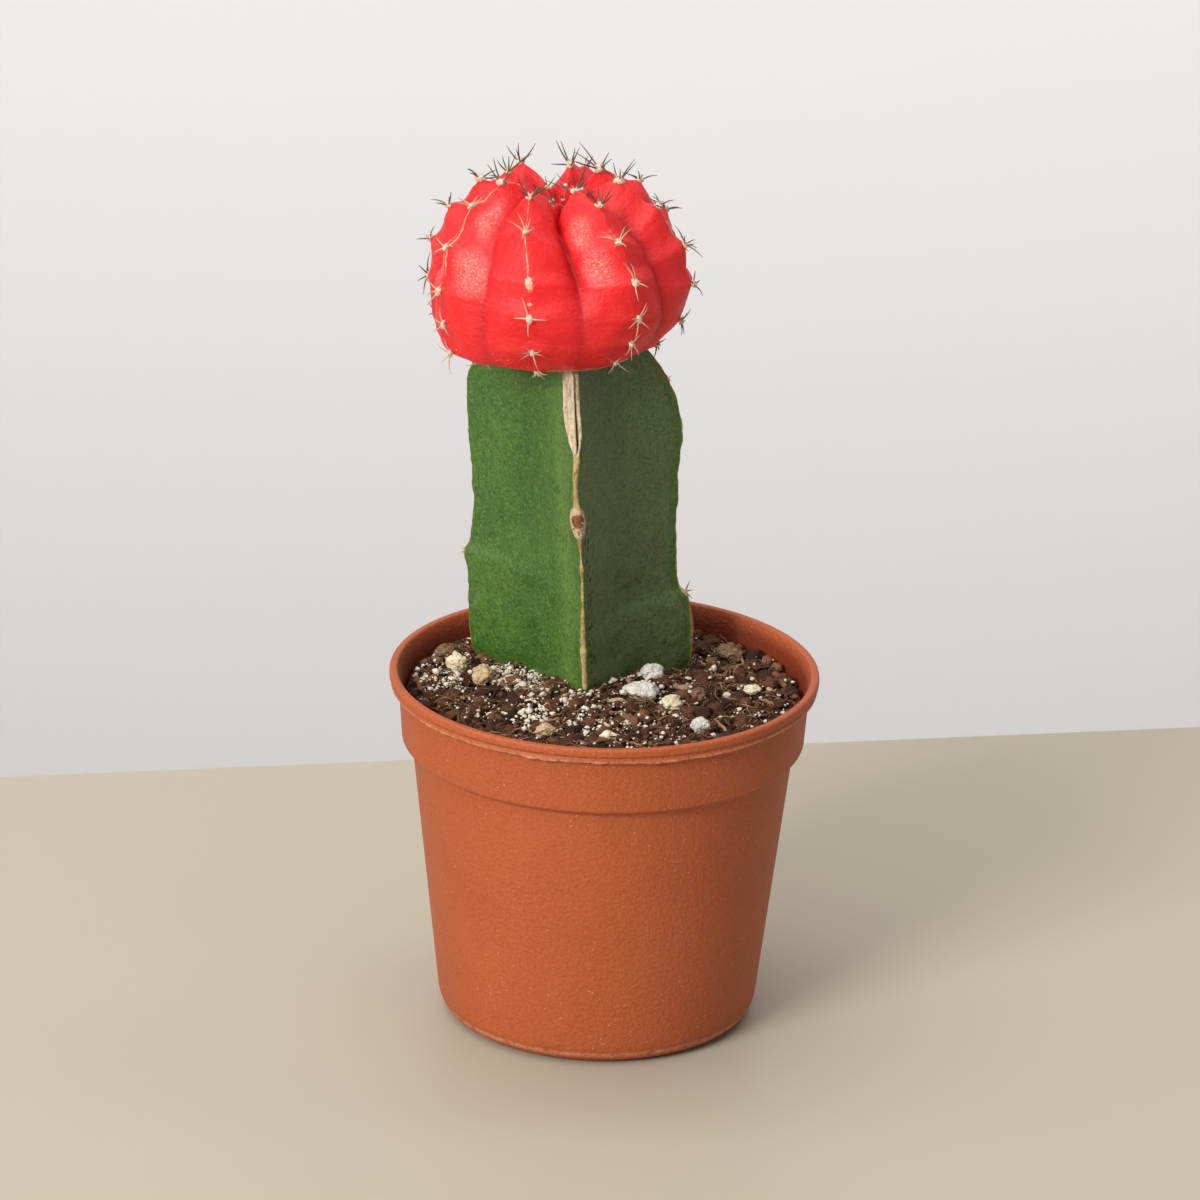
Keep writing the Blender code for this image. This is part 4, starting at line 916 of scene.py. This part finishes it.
def make_scion():
    columns, rows = 8 * 44, 260
    places = np.arange(columns) / 44
    us = np.linspace(0.004, 1, rows)
    U, A = np.meshgrid(us, places, indexing="ij")
    P, which, side, latitude, nearest = scion_shape(A, U)
    across = np.abs(side)
    du = scion_shape(A, np.clip(U + 0.003, 0, 1))[0] - scion_shape(A, np.clip(U - 0.003, 0, 1))[0]
    da = scion_shape(A + 0.01, U)[0] - scion_shape(A - 0.01, U)[0]
    N = np.cross(du, da)
    N /= np.linalg.norm(N, axis=-1)[..., None] + 1e-12
    radial = P - np.array([SCION_X, SCION_Y, SCION_Z - 6])
    N *= np.sign((N * radial).sum(-1))[..., None]
    flat = P.reshape(-1, 3)
    push = 0.26 * noise_at(flat, 0.22, (8, 1, 5), 2).reshape(U.shape)
    push += 0.07 * noise_at(flat * np.array([1, 1, 1.7]), 0.9, (2, 8, 5), 3).reshape(U.shape)
    # a fine crease under each tubercle's lip
    crease = np.exp(-(((nearest + 3.2) / 1.3) ** 2)) * (1 - across) ** 0.4 * smoothstep(20, 45, latitude + 60)
    push -= 0.10 * crease * smoothstep(0.03, 0.2, U) * smoothstep(1.0, 0.85, U)
    push *= smoothstep(1.0, 0.97, U)
    P = P + N * push[..., None]
    # the rim round the graft rolls under to the flat cut
    under = smoothstep(0.965, 1.0, U)
    P[..., 2] = P[..., 2] * (1 - under) + (STOCK_TOP_Z + 0.3) * under
    verts = P.reshape(-1, 3)
    faces = [f[::-1] for f in grid_faces(rows, columns)]
    crown, foot = len(verts), len(verts) + 1
    verts = np.concatenate([verts, [[SCION_X, SCION_Y, float(P[0, :, 2].mean())], [SCION_X, SCION_Y, STOCK_TOP_Z + 0.3]]])
    for c in range(columns):
        d = (c + 1) % columns
        faces.append((crown, c, d))
        faces.append((foot, (rows - 1) * columns + d, (rows - 1) * columns + c))
    pad = lambda a: np.concatenate([np.asarray(a, float).ravel(), [0.0, 0.0]])
    # mask for the painted shade along the furrows
    furrow = across**7 * smoothstep(1.0, 0.7, U)
    band = np.exp(-(((nearest - 1.5) / 3.0) ** 2)) * (1 - 0.5 * across)
    # a thin pale line runs down each crest between its areoles
    keel = np.exp(-((side / 0.05) ** 2)) * smoothstep(0.1, 0.2, U) * smoothstep(0.66, 0.52, U) * np.where(which == 7, 1.0, np.where(which == 0, 0.72, 0.62))
    # painted highlight patches: on the right face of rib 7 and the left face of rib 1, lighter on a few others behind
    patch = np.zeros(U.shape)
    for k, way, at, centre, wide, tall, much in ((7, 1, 0.60, 49, 0.22, 10, 0.9), (7, 1, 0.62, 14, 0.30, 12, 1.0), (1, -1, 0.62, 50, 0.20, 10, 0.8), (1, -1, 0.55, 25, 0.24, 10, 0.9), (7, -1, 0.25, 12, 0.12, 13, 0.7), (4, 1, 0.6, 20, 0.24, 12, 0.6), (5, -1, 0.5, 30, 0.22, 11, 0.5), (3, -1, 0.55, 15, 0.24, 11, 0.5)):
        patch = np.maximum(patch, (which == k) * much * np.clip(1.6 - np.hypot((side * way - at) / wide, (latitude - centre) / tall), 0, 1))
    low = smoothstep(-22, -40, latitude)
    # old corky marks: on the front rib, and down the two furrows beside it
    scab = np.where(which == 0, np.exp(-(((side - 0.02) / 0.10) ** 2 + ((latitude - 14) / 5.0) ** 2)), 0)
    scab += np.where(which == 0, 0.9 * np.exp(-(((side + 0.01) / 0.075) ** 2 + ((latitude - 2.0) / 1.5) ** 2)), 0)
    scab += np.where(which == 0, 0.62 * np.exp(-((side / 0.05) ** 2 + ((latitude - 27) / 4.5) ** 2)), 0)
    scab += 0.42 * np.exp(-(((A - 7.5) / 0.045) ** 2 + ((latitude + 14) / 15.0) ** 2))
    scab += 0.38 * np.exp(-(((A - 0.5) / 0.045) ** 2 + ((latitude + 6) / 8.0) ** 2))
    graft = smoothstep(0.915, 0.985, U)
    return mesh_object("red_globe", verts, faces, GLOBE, {"furrow": pad(furrow), "band": pad(band), "keel": pad(keel), "sheen": pad(patch), "low": pad(low), "scab": pad(np.clip(scab, 0, 1)), "graft": pad(graft)})


def make_areoles():
    """Each areole: a small woolly cushion, and a spray of curved bristles."""
    rng = random.Random(41)
    wool, spines = Soup(), Soup()
    ball, ball_faces = ico(3)
    for k in range(RIBS):
        for at, latitude in enumerate(AREOLES[k]):
            if k == 0 and latitude == 15:  # lost its areole to the old scar
                continue
            place = k + rng.uniform(-0.02, 0.02)
            u = u_of_latitude(latitude)
            here = scion_shape(place, u)[0]
            up = scion_shape(place, max(u - 0.02, 0))[0] - here
            right = scion_shape(place + 0.05, u)[0] - scion_shape(place - 0.05, u)[0]
            up /= np.linalg.norm(up)
            right -= up * right.dot(up)
            right /= np.linalg.norm(right)
            outward = np.cross(right, up)
            if outward.dot(here - np.array([SCION_X, SCION_Y, SCION_Z - 6])) < 0:
                outward = -outward
            size = rng.uniform(0.85, 1.15) * (1.0 if latitude > -15 else 0.85) * (1.2 if latitude > 52 else 1.0)
            seed = k * 7 + at
            rough = np.array([1 + 0.42 * noise.noise((p[0] * 2 + seed, p[1] * 2, p[2] * 2)) + 0.22 * noise.noise((p[0] * 6, p[1] * 6 + seed, p[2] * 6)) for p in ball])
            cushion = here + outward * 0.14 + (ball[:, :1] * right * 0.52 * size + ball[:, 1:2] * up * 0.66 * size + ball[:, 2:3] * outward * 0.40 * size) * rough[:, None]
            wool.add(cushion, ball_faces)
            # short wool tufts stand out of the cushion
            for n in range(9):
                turn = rng.uniform(0, 2 * math.pi)
                way = right * math.cos(turn) * rng.uniform(0.2, 1) + up * math.sin(turn) * rng.uniform(0.2, 1) + outward * rng.uniform(0.5, 1)
                way /= np.linalg.norm(way)
                t = np.linspace(0, 1, 4)
                path = here + outward * 0.2 + way * (rng.uniform(0.5, 0.9) * size * t)[:, None]
                v, f = tube(path, 0.075 * (1 - 0.8 * t), 5)
                wool.add(v, f)
            young = latitude > 56
            count = rng.choice((4, 5, 5, 6))
            # painted shade: bristles seen against the sky are painted dark, as they are backlit; the ones on the front
            # ribs stay straw-coloured
            backlit = young or k in (2, 3, 4, 5, 6) or (k in (1, 7) and latitude > 50)
            dark = (0.5 if backlit else 0.0) + rng.uniform(-0.1, 0.15)
            for n in range(count):
                turn = 2 * math.pi * (n + rng.uniform(-0.42, 0.42)) / count + 0.7 * seed
                lift = rng.uniform(0.2, 1.2) if not young else rng.uniform(0.3, 1.0)
                way = right * math.cos(turn) + up * math.sin(turn) * 1.05 + outward * lift
                if young:
                    way = way + np.array([0, 0, 0.35])
                way /= np.linalg.norm(way)
                length = rng.triangular(1.5, 4.1, 3.0) * (1.0 if latitude > -20 else 0.8) * (1.25 if young else 1.0)
                bend = (-outward * 0.7 if not young else np.array([0, 0, 0.1])) + right * rng.uniform(-0.7, 0.7) + up * rng.uniform(-0.5, 0.5)
                t = np.linspace(0, 1, 9)
                root = here + outward * 0.15 + (right * math.cos(turn) + up * math.sin(turn)) * 0.24
                path = root + way * (length * t)[:, None] + bend * (0.36 * length * t**2)[:, None]
                radii = 0.125 * min(size, 1.1) * (1 - 0.75 * t**1.5)
                v, f = tube(path, radii, 7)
                spines.add(v, f, along=np.repeat(np.clip(t * (0.9 if backlit else 0.5) + dark, 0, 1), 7))
    # young tubercles in the sunken crown carry short crowded bristles
    for k in range(RIBS):
        for u, scale in ((0.07, 0.6), (0.13, 0.8)):
            here = scion_shape(k + rng.uniform(-0.12, 0.12), u)[0]
            cushion = here + (ball * np.array([0.48, 0.48, 0.36]) * scale)
            wool.add(cushion, ball_faces)
            for n in range(3):
                turn = rng.uniform(0, 2 * math.pi)
                way = np.array([math.cos(turn) * 0.8, math.sin(turn) * 0.8, rng.uniform(0.6, 1.4)])
                way /= np.linalg.norm(way)
                t = np.linspace(0, 1, 6)
                length = rng.uniform(1.8, 3.0) * scale
                path = here + way * (length * t)[:, None]
                v, f = tube(path, 0.12 * (1 - 0.8 * t), 6)
                # painted shade: these crown bristles, backlit against the sky, are painted dark along most of their
                # length
                spines.add(v, f, along=np.repeat(np.clip(t + 0.35, 0, 1), 6))
    return wool.make("areole_wool", WOOL), spines.make("bristles", SPINE)


def make_graft_flakes():
    """Shrivelled brown bits of skin along the rim where the globe meets the stem."""
    rng = np.random.default_rng(27)
    soup = Soup()
    ball, faces = ico(3)
    for k in range(34):
        turn = 2 * math.pi * (k + rng.uniform(-0.4, 0.4)) / 34
        here = np.array([SCION_X + 11.15 * math.sin(turn), SCION_Y - 11.15 * math.cos(turn), STOCK_TOP_Z + 0.42])
        half = rng.uniform((0.45, 0.22, 0.18), (1.15, 0.42, 0.40)) * (1.0 if k % 3 else 1.35)
        rough = np.array([1 + 0.6 * noise.noise((p[0] * 1.6 + k, p[1] * 1.6, p[2] * 1.6)) + 0.25 * noise.noise((p[0] * 4.5, p[1] * 4.5 + k, p[2] * 4.5)) for p in ball])
        spin = Matrix.Rotation(turn, 3, "Z") @ Matrix.Rotation(rng.uniform(-0.5, 0.5), 3, "Y")
        soup.add((ball * rough[:, None] * half) @ np.array(spin).T + here, faces)
    return soup.make("graft_flakes", BARK)


def make_thorns():
    """Short stiff thorns on the rootstock's areoles."""
    rng = random.Random(8)
    soup = Soup()
    spots = []
    for z, which, count, size in ((NODE_Z, 1, 6, 1.0), (63.2, 2, 4, 1.0), (68.6, 0, 2, 0.5), (97.5, 2, 2, 0.6)):
        crest = rib_crests(z)[which]
        centre = np.mean(rib_crests(z), 0)
        out2 = (crest - centre) / np.linalg.norm(crest - centre)
        spots.append((np.array([*crest, z]), np.array([*out2, 0.0]), count, size, which))
    for here, outward, count, size, which in spots:
        side = np.cross(outward, (0, 0, 1.0))
        for n in range(count):
            turn = 2 * math.pi * (n + rng.uniform(-0.2, 0.2)) / count + 0.6
            way = side * math.cos(turn) + np.array([0, 0, 1.0]) * math.sin(turn) + outward * rng.uniform(0.5, 1.1)
            way /= np.linalg.norm(way)
            t = np.linspace(0, 1, 6)
            length = rng.uniform(1.0, 1.9) * size
            start = (side * math.cos(turn) * 0.35 + np.array([0, 0, 1.0]) * math.sin(turn) * 0.75) * (which == 1)
            path = here + start + outward * 0.25 + way * (length * t)[:, None]
            v, f = tube(path, 0.16 * size * (1 - 0.88 * t), 7)
            soup.add(v, f, along=np.repeat(np.clip(0.35 + 0.6 * t, 0, 1), 7))
    return soup.make("stem_thorns", SPINE)


# =====================================================================================================================
# Pebbles, bark, crumbs, fibres and fine grit on the mix
# =====================================================================================================================
PEBBLES = (
    ("pebble_01", -18.4, 0.4, 53.4, (1.75, 1.5, 1.5), 20, 11, "tan"),
    ("pebble_02", -22.4, 6.2, 53.0, (1.7, 1.4, 1.5), -30, 12, "cream"),
    ("pebble_03", 7.2, 0.8, 54.4, (1.7, 1.5, 1.3), 15, 13, "grey"),
    ("pebble_04", 5.6, -6.6, 53.9, (2.65, 1.9, 1.7), -12, 14, "grey"),
    ("pebble_05", 2.1, -11.0, 53.5, (1.75, 1.3, 1.1), 5, 15, "tan"),
    ("pebble_06", 10.2, -9.3, 53.4, (1.8, 1.4, 1.3), 30, 16, "cream"),
    ("pebble_07", 0.6, -24.6, 53.4, (1.4, 1.2, 1.4), 0, 17, "cream"),
    ("pebble_08", -8.6, -21.6, 53.3, (1.5, 1.3, 1.3), 40, 18, "tan"),
    ("pebble_09", 14.5, -17.6, 53.3, (1.4, 1.1, 1.2), 10, 19, "grey"),
    ("pebble_10", 14.2, -5.0, 53.2, (1.1, 1.0, 1.1), 70, 20, "bark"),
    ("pebble_11", 22.4, 0.0, 52.2, (1.3, 1.0, 0.8), -8, 21, "cream"),
)
CHIPS = (
    ("bark_01", -24.0, 11.4, 52.6, (2.1, 1.5, 1.3), 35, 31),
    ("bark_02", 19.2, 16.0, 51.8, (2.4, 1.4, 1.0), -40, 32),
)


def stone_verts(ball, half, seed, detail=True):
    """The solid's lump, with facets and pits the solid is too coarse to hold."""
    out = np.empty_like(ball)
    for k, way in enumerate(ball):
        w = Vector(way)
        rough = 1 + 0.28 * noise.noise(w * 1.3 + Vector((seed * 3.7, seed * 1.9, 0))) + 0.12 * noise.noise(w * 3.1 + Vector((0, seed * 2.3, seed)))
        if detail:
            cell = noise.cell_vector(w * 1.6 + Vector((seed, 0, seed)))
            flat = noise.voronoi(w * 1.5 + Vector((seed, seed * 2.0, 0)))[0]
            rough += 0.10 * (flat[1] - flat[0]) - 0.05 + 0.05 * noise.noise(w * 7 + Vector((seed, 0, 0))) + 0.025 * noise.noise(w * 16)
        out[k] = [way[a] * half[a] * rough for a in range(3)]
    return out


def turned_z(verts, degrees):
    c, s = math.cos(math.radians(degrees)), math.sin(math.radians(degrees))
    return np.stack([verts[:, 0] * c - verts[:, 1] * s, verts[:, 0] * s + verts[:, 1] * c, verts[:, 2]], -1)


def make_stones():
    ball, faces = ico(6)
    looks = {"tan": STONE_TAN, "cream": STONE_CREAM, "grey": STONE_GREY, "bark": BARK}
    made = []
    for name, x, y, z, half, turn, seed, look in PEBBLES:
        verts = turned_z(stone_verts(ball, half, seed), turn) + np.array([x, y, z])
        made.append((mesh_object("stone_" + name[-2:], verts, faces, looks[look]), name, "bark_chip" if look == "bark" else "perlite"))
    for name, x, y, z, half, turn, seed in CHIPS:
        verts = stone_verts(ball, half, seed)
        verts[:, 2] += 0.16 * np.sin(verts[:, 1] * 5.0) * half[2]
        verts = turned_z(verts, turn) + np.array([x, y, z])
        made.append((mesh_object("chip_" + name[-2:], verts, faces, BARK), name, "bark_chip"))
    return made


def inside_polygon(x, y, polygon):
    inside = np.zeros(np.shape(x), bool)
    n = len(polygon)
    for k in range(n):
        (x0, y0), (x1, y1) = polygon[k], polygon[(k + 1) % n]
        cross = (y0 > y) != (y1 > y)
        with np.errstate(divide="ignore", invalid="ignore"):
            at = (x1 - x0) * (y - y0) / (y1 - y0) + x0
        inside ^= cross & (x < at)
    return inside


STEM_FOOT = section(52.0, 24, 5)[0]
STEM_CENTRE = STEM_FOOT.mean(0)


def free_spots(rng, count, margin, density=None, reach=29.2):
    """Seeded places on the mix that are clear of the stem by margin."""
    found = []
    hull = STEM_CENTRE + (STEM_FOOT - STEM_CENTRE) * (1 + margin / 12.0)
    while len(found) < count:
        r = reach * np.sqrt(rng.random(count * 2))
        a = 2 * np.pi * rng.random(count * 2)
        x, y = r * np.cos(a), r * np.sin(a)
        keep = ~inside_polygon(x, y, hull)
        for _, px, py, pz, half, turn, seed, look in PEBBLES:
            keep &= ((x - px) / (half[0] * 0.85)) ** 2 + ((y - py) / (half[0] * 0.85)) ** 2 > 1
        if density is not None:
            keep &= rng.random(len(x)) < density(x, y)
        found += list(zip(x[keep], y[keep]))
    return np.array(found[:count])


def make_crumbs():
    """Peat crumbs of many sizes."""
    rng = np.random.default_rng(5)
    soup = Soup()
    balls = {n: ico(n) for n in (2, 3)}
    spots = free_spots(rng, 1900, 0.2)
    heights = soil_z(spots[:, 0], spots[:, 1])
    for k, ((x, y), z) in enumerate(zip(spots, heights)):
        size = float(np.clip(rng.lognormal(-0.72, 0.54), 0.20, 1.6))
        ball, faces = balls[3 if size > 1.1 else 2]
        half = size * rng.uniform((0.7, 0.55, 0.45), (1.2, 1.0, 0.85))
        far, limit = math.hypot(x, y), 29.7 - max(half[:2])  # clear of the pot's wall
        if far > limit:
            x, y = x * limit / far, y * limit / far
        seed = k * 1.37
        rough = np.array([1 + 0.55 * noise.noise((p[0] * 1.7 + seed, p[1] * 1.7, p[2] * 1.7)) + 0.22 * noise.noise((p[0] * 4.5, p[1] * 4.5 + seed, p[2] * 4.5)) for p in ball])
        verts = ball * rough[:, None] * half
        spin = Matrix.Rotation(rng.uniform(0, 6.28), 3, "Z") @ Matrix.Rotation(rng.uniform(-0.6, 0.6), 3, "X")
        verts = verts @ np.array(spin).T + np.array([x, y, z + rng.uniform(-0.25, 0.45) * half[2]])
        soup.add(verts, faces, tint=float(np.clip(rng.normal(0.45, 0.22), 0.02, 1.0)))
    return soup.make("peat_crumbs", PEAT)


def make_fibres():
    """Peat fibres and a few twigs, lying at all angles."""
    rng = np.random.default_rng(9)
    soup = Soup()
    spots = free_spots(rng, 1150, 0.3, reach=28.6)
    heights = soil_z(spots[:, 0], spots[:, 1])
    for k, ((x, y), z) in enumerate(zip(spots, heights)):
        twig = k % 26 == 0
        length = rng.uniform(2.6, 5.5) if twig else rng.uniform(1.0, 3.6)
        thick = rng.uniform(0.16, 0.32) if twig else rng.uniform(0.045, 0.12)
        turn, tilt = rng.uniform(0, 2 * np.pi), rng.normal(0.12, 0.28)
        t = np.linspace(-0.5, 0.5, 9)
        way = np.array([math.cos(turn) * math.cos(tilt), math.sin(turn) * math.cos(tilt), math.sin(tilt)])
        side = np.array([-math.sin(turn), math.cos(turn), 0.0])
        curl = rng.uniform(-0.35, 0.35) * (0.3 if twig else 1.0)
        path = np.array([x, y, z + 0.35]) + way * (length * t)[:, None] + side * (curl * length * (4 * t**2 - 0.5))[:, None]
        path[:, 2] += rng.uniform(0.0, 0.5) * (1 - (2 * t) ** 2) * (0.3 if twig else 0.8)
        path += 0.08 * rng.normal(size=path.shape)
        low = soil_z(path[:, 0], path[:, 1]) + 0.05
        path[:, 2] = np.maximum(path[:, 2], low)
        over = np.hypot(path[:, 0], path[:, 1])
        if over.max() > 29.6:
            continue
        v, f = tube(path, thick * (1 - 0.55 * (2 * np.abs(t)) ** 2), 6)
        soup.add(v, f, tint=float(np.clip(rng.normal(0.5, 0.25), 0, 1)))
    return soup.make("peat_fibres", FIBRE)


def make_fine_grit():
    """White and cream grains, thick in drifts on the left and in front of the stem."""
    rng = np.random.default_rng(3)
    soup = Soup()
    balls = {n: ico(n) for n in (1, 2)}

    def density(x, y):
        d = 0.05 + 0.95 * np.exp(-((x + 12.5) ** 2 + (y - 1.0) ** 2) / 22)
        d += 0.34 * np.exp(-((x + 24) ** 2 / 16 + (y - 3) ** 2 / 60))
        d += 0.42 * np.exp(-((x + 7) ** 2 / 50 + (y + 13) ** 2 / 30))
        d += 0.20 * np.exp(-((x - 3) ** 2 / 40 + (y + 22) ** 2 / 30))
        d += 0.45 * np.exp(-((x - 7) ** 2 + (y - 2) ** 2) / 14)
        drift = np.array([noise.noise((a * 0.22, b * 0.22, 31.0)) + 0.6 * noise.noise((a * 0.6, b * 0.6, 13.0)) for a, b in zip(x, y)])
        return np.clip(d * (0.25 + 1.5 * smoothstep(-0.15, 0.35, drift)), 0, 1)

    spots = free_spots(rng, 1750, 0.15, density, 29.3)
    heights = soil_z(spots[:, 0], spots[:, 1])
    for k, ((x, y), z) in enumerate(zip(spots, heights)):
        size = float(np.clip(rng.lognormal(-1.62, 0.42), 0.09, 0.62))
        ball, faces = balls[2 if size > 0.25 else 1]
        half = size * rng.uniform((0.75, 0.7, 0.6), (1.25, 1.1, 1.0))
        seed = k * 0.77
        rough = np.array([1 + 0.6 * noise.noise((p[0] * 1.5 + seed, p[1] * 1.5, p[2] * 1.5)) for p in ball])
        verts = ball * rough[:, None] * half + np.array([x, y, z + rng.uniform(0.0, 0.75)])
        soup.add(verts, faces, tint=0.5)
    return soup.make("fine_grit", GRIT, smooth=True)


# =====================================================================================================================
# Make the pieces and stand them in for the solids
# =====================================================================================================================
def outward(obj):
    bm = bmesh.new()
    bm.from_mesh(obj.data)
    bmesh.ops.recalc_face_normals(bm, faces=bm.faces)
    bm.to_mesh(obj.data)
    bm.free()
    return obj


def piece(obj, slot, *nodes):
    outward(obj)
    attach(obj, "root")
    if nodes:
        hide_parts(*nodes)


piece(make_pot(), "terracotta_plastic", "pot")
piece(make_soil(), "peat_mix", "soil")
piece(make_stock(), "green_stem", "stock")
piece(make_scion(), "red_globe", "scion")
areole_wool, bristles = make_areoles()
piece(areole_wool, "red_globe")
piece(bristles, "red_globe")
piece(make_graft_flakes(), "red_globe")
piece(make_thorns(), "green_stem")
for obj, node, slot in make_stones():
    piece(obj, slot, node)
piece(make_crumbs(), "peat_mix")
piece(make_fibres(), "peat_mix")
piece(make_fine_grit(), "perlite")


# =====================================================================================================================
# Table, backdrop, light and camera
# =====================================================================================================================
def plain(name, colour, roughness=0.6, painted_falloff=False):
    m = Mat(name)
    soft = m.noise(0.012, 3)
    base = m.mix(m.math("MULTIPLY", soft, 0.10), colour, tuple(c * 0.9 for c in colour))
    if painted_falloff:  # painted shade: the wall darkens gently towards its foot
        base = m.mix(m.step(m.axis(2), -150.0, -640.0), base, tuple(c * 0.78 for c in colour))
    m.set(Base_Color=base)
    m.bsdf.inputs["Roughness"].default_value = roughness
    m.bsdf.inputs["Specular IOR Level"].default_value = 0.25
    m.set(Normal=m.bump(m.noise(0.8, 2), 0.05, 0.2))
    return m.m


def sheet(name, corners, mat, thick=0.0):
    """A flat sheet through corners in metres, thickened downwards."""
    bm = bmesh.new()
    top = [bm.verts.new(c) for c in corners]
    face = bm.faces.new(top)
    if thick:
        grown = bmesh.ops.extrude_face_region(bm, geom=[face])
        for v in grown["geom"]:
            if isinstance(v, bmesh.types.BMVert):
                v.co.z -= thick
    bmesh.ops.recalc_face_normals(bm, faces=bm.faces)
    mesh = bpy.data.meshes.new(name)
    bm.to_mesh(mesh)
    bm.free()
    obj = bpy.data.objects.new(name, mesh)
    bpy.context.scene.collection.objects.link(obj)
    mesh.materials.append(mat)
    return obj


TABLE = plain("table_beige", (0.445, 0.398, 0.306), 0.5)
WALL = plain("backdrop_grey", (0.80, 0.783, 0.772), 0.9, painted_falloff=True)
BACK_Y, BACK_SLOPE = 0.1008, 0.1727
sheet("table", [(-1.6, -1.6, 0), (1.6, -1.6, 0), (1.6, BACK_Y + 1.6 * BACK_SLOPE, 0), (-1.6, BACK_Y - 1.6 * BACK_SLOPE, 0)], TABLE, 0.025)
sheet("backdrop", [(-4, 1.45, -1.2), (4, 1.45, -1.2), (4, 1.45, 3), (-4, 1.45, 3)], WALL)
# the lower floor shares the backdrop material and lies in its full painted shade
sheet("lower_floor", [(-4, -4, -0.75), (4, -4, -0.75), (4, 1.45, -0.75), (-4, 1.45, -0.75)], WALL)

scene = bpy.context.scene
scene.view_settings.view_transform = "Standard"
scene.view_settings.look = "None"
scene.view_settings.exposure = 0.0
scene.view_settings.gamma = 1.0

world = bpy.data.worlds.new("studio")
world.use_nodes = True
world.node_tree.nodes["Background"].inputs["Color"].default_value = (1.0, 0.985, 0.97, 1.0)
world.node_tree.nodes["Background"].inputs["Strength"].default_value = 0.36
scene.world = world


def area(name, place, target, size, power, colour=(1, 1, 1)):
    data = bpy.data.lights.new(name, "AREA")
    data.shape = "RECTANGLE"
    data.size, data.size_y = size
    data.energy = power
    data.color = colour
    obj = bpy.data.objects.new(name, data)
    obj.location = place
    obj.rotation_euler = (Vector(target) - Vector(place)).to_track_quat("-Z", "Y").to_euler()
    scene.collection.objects.link(obj)
    return obj


area("window", (-0.82, -1.05, 0.72), (0, 0, 0.06), (0.55, 0.5), 20.0, (1.0, 0.985, 0.965))
area("overhead", (-0.35, -0.25, 1.45), (0, 0, 0.0), (1.6, 1.6), 11.0, (1.0, 0.99, 0.975))
area("wall_wash", (0.0, 0.62, -0.36), (0.0, 1.45, 0.05), (2.2, 0.25), 4.8, (0.965, 0.975, 1.0))
area("backdrop_light", (0.0, 0.5, 1.9), (0.0, 1.45, 0.6), (2.6, 0.6), 15.0)

# The camera looks along +Y, 21 degrees down, nearly a metre away, rolled a little.
elevation, roll, distance = math.radians(21.03), math.radians(1.37), 1.0
ahead = Vector((0, math.cos(elevation), -math.sin(elevation)))
right = Vector((1, 0, 0))
up = right.cross(ahead)
turned_right = right * math.cos(roll) + up * math.sin(roll)
turned_up = up * math.cos(roll) - right * math.sin(roll)
target = Vector((-0.00092, 0.0, 0.06612))
lens = bpy.data.cameras.new("camera")
lens.sensor_width = 36.0
lens.lens = 36.0 * 6646.0 / 1200.0
lens.clip_start, lens.clip_end = 0.05, 20.0
camera = bpy.data.objects.new("camera", lens)
camera.matrix_world = Matrix(((turned_right.x, turned_up.x, -ahead.x, 0), (turned_right.y, turned_up.y, -ahead.y, 0), (turned_right.z, turned_up.z, -ahead.z, 0), (0, 0, 0, 1)))
camera.matrix_world.translation = target - ahead * distance
scene.collection.objects.link(camera)
scene.camera = camera
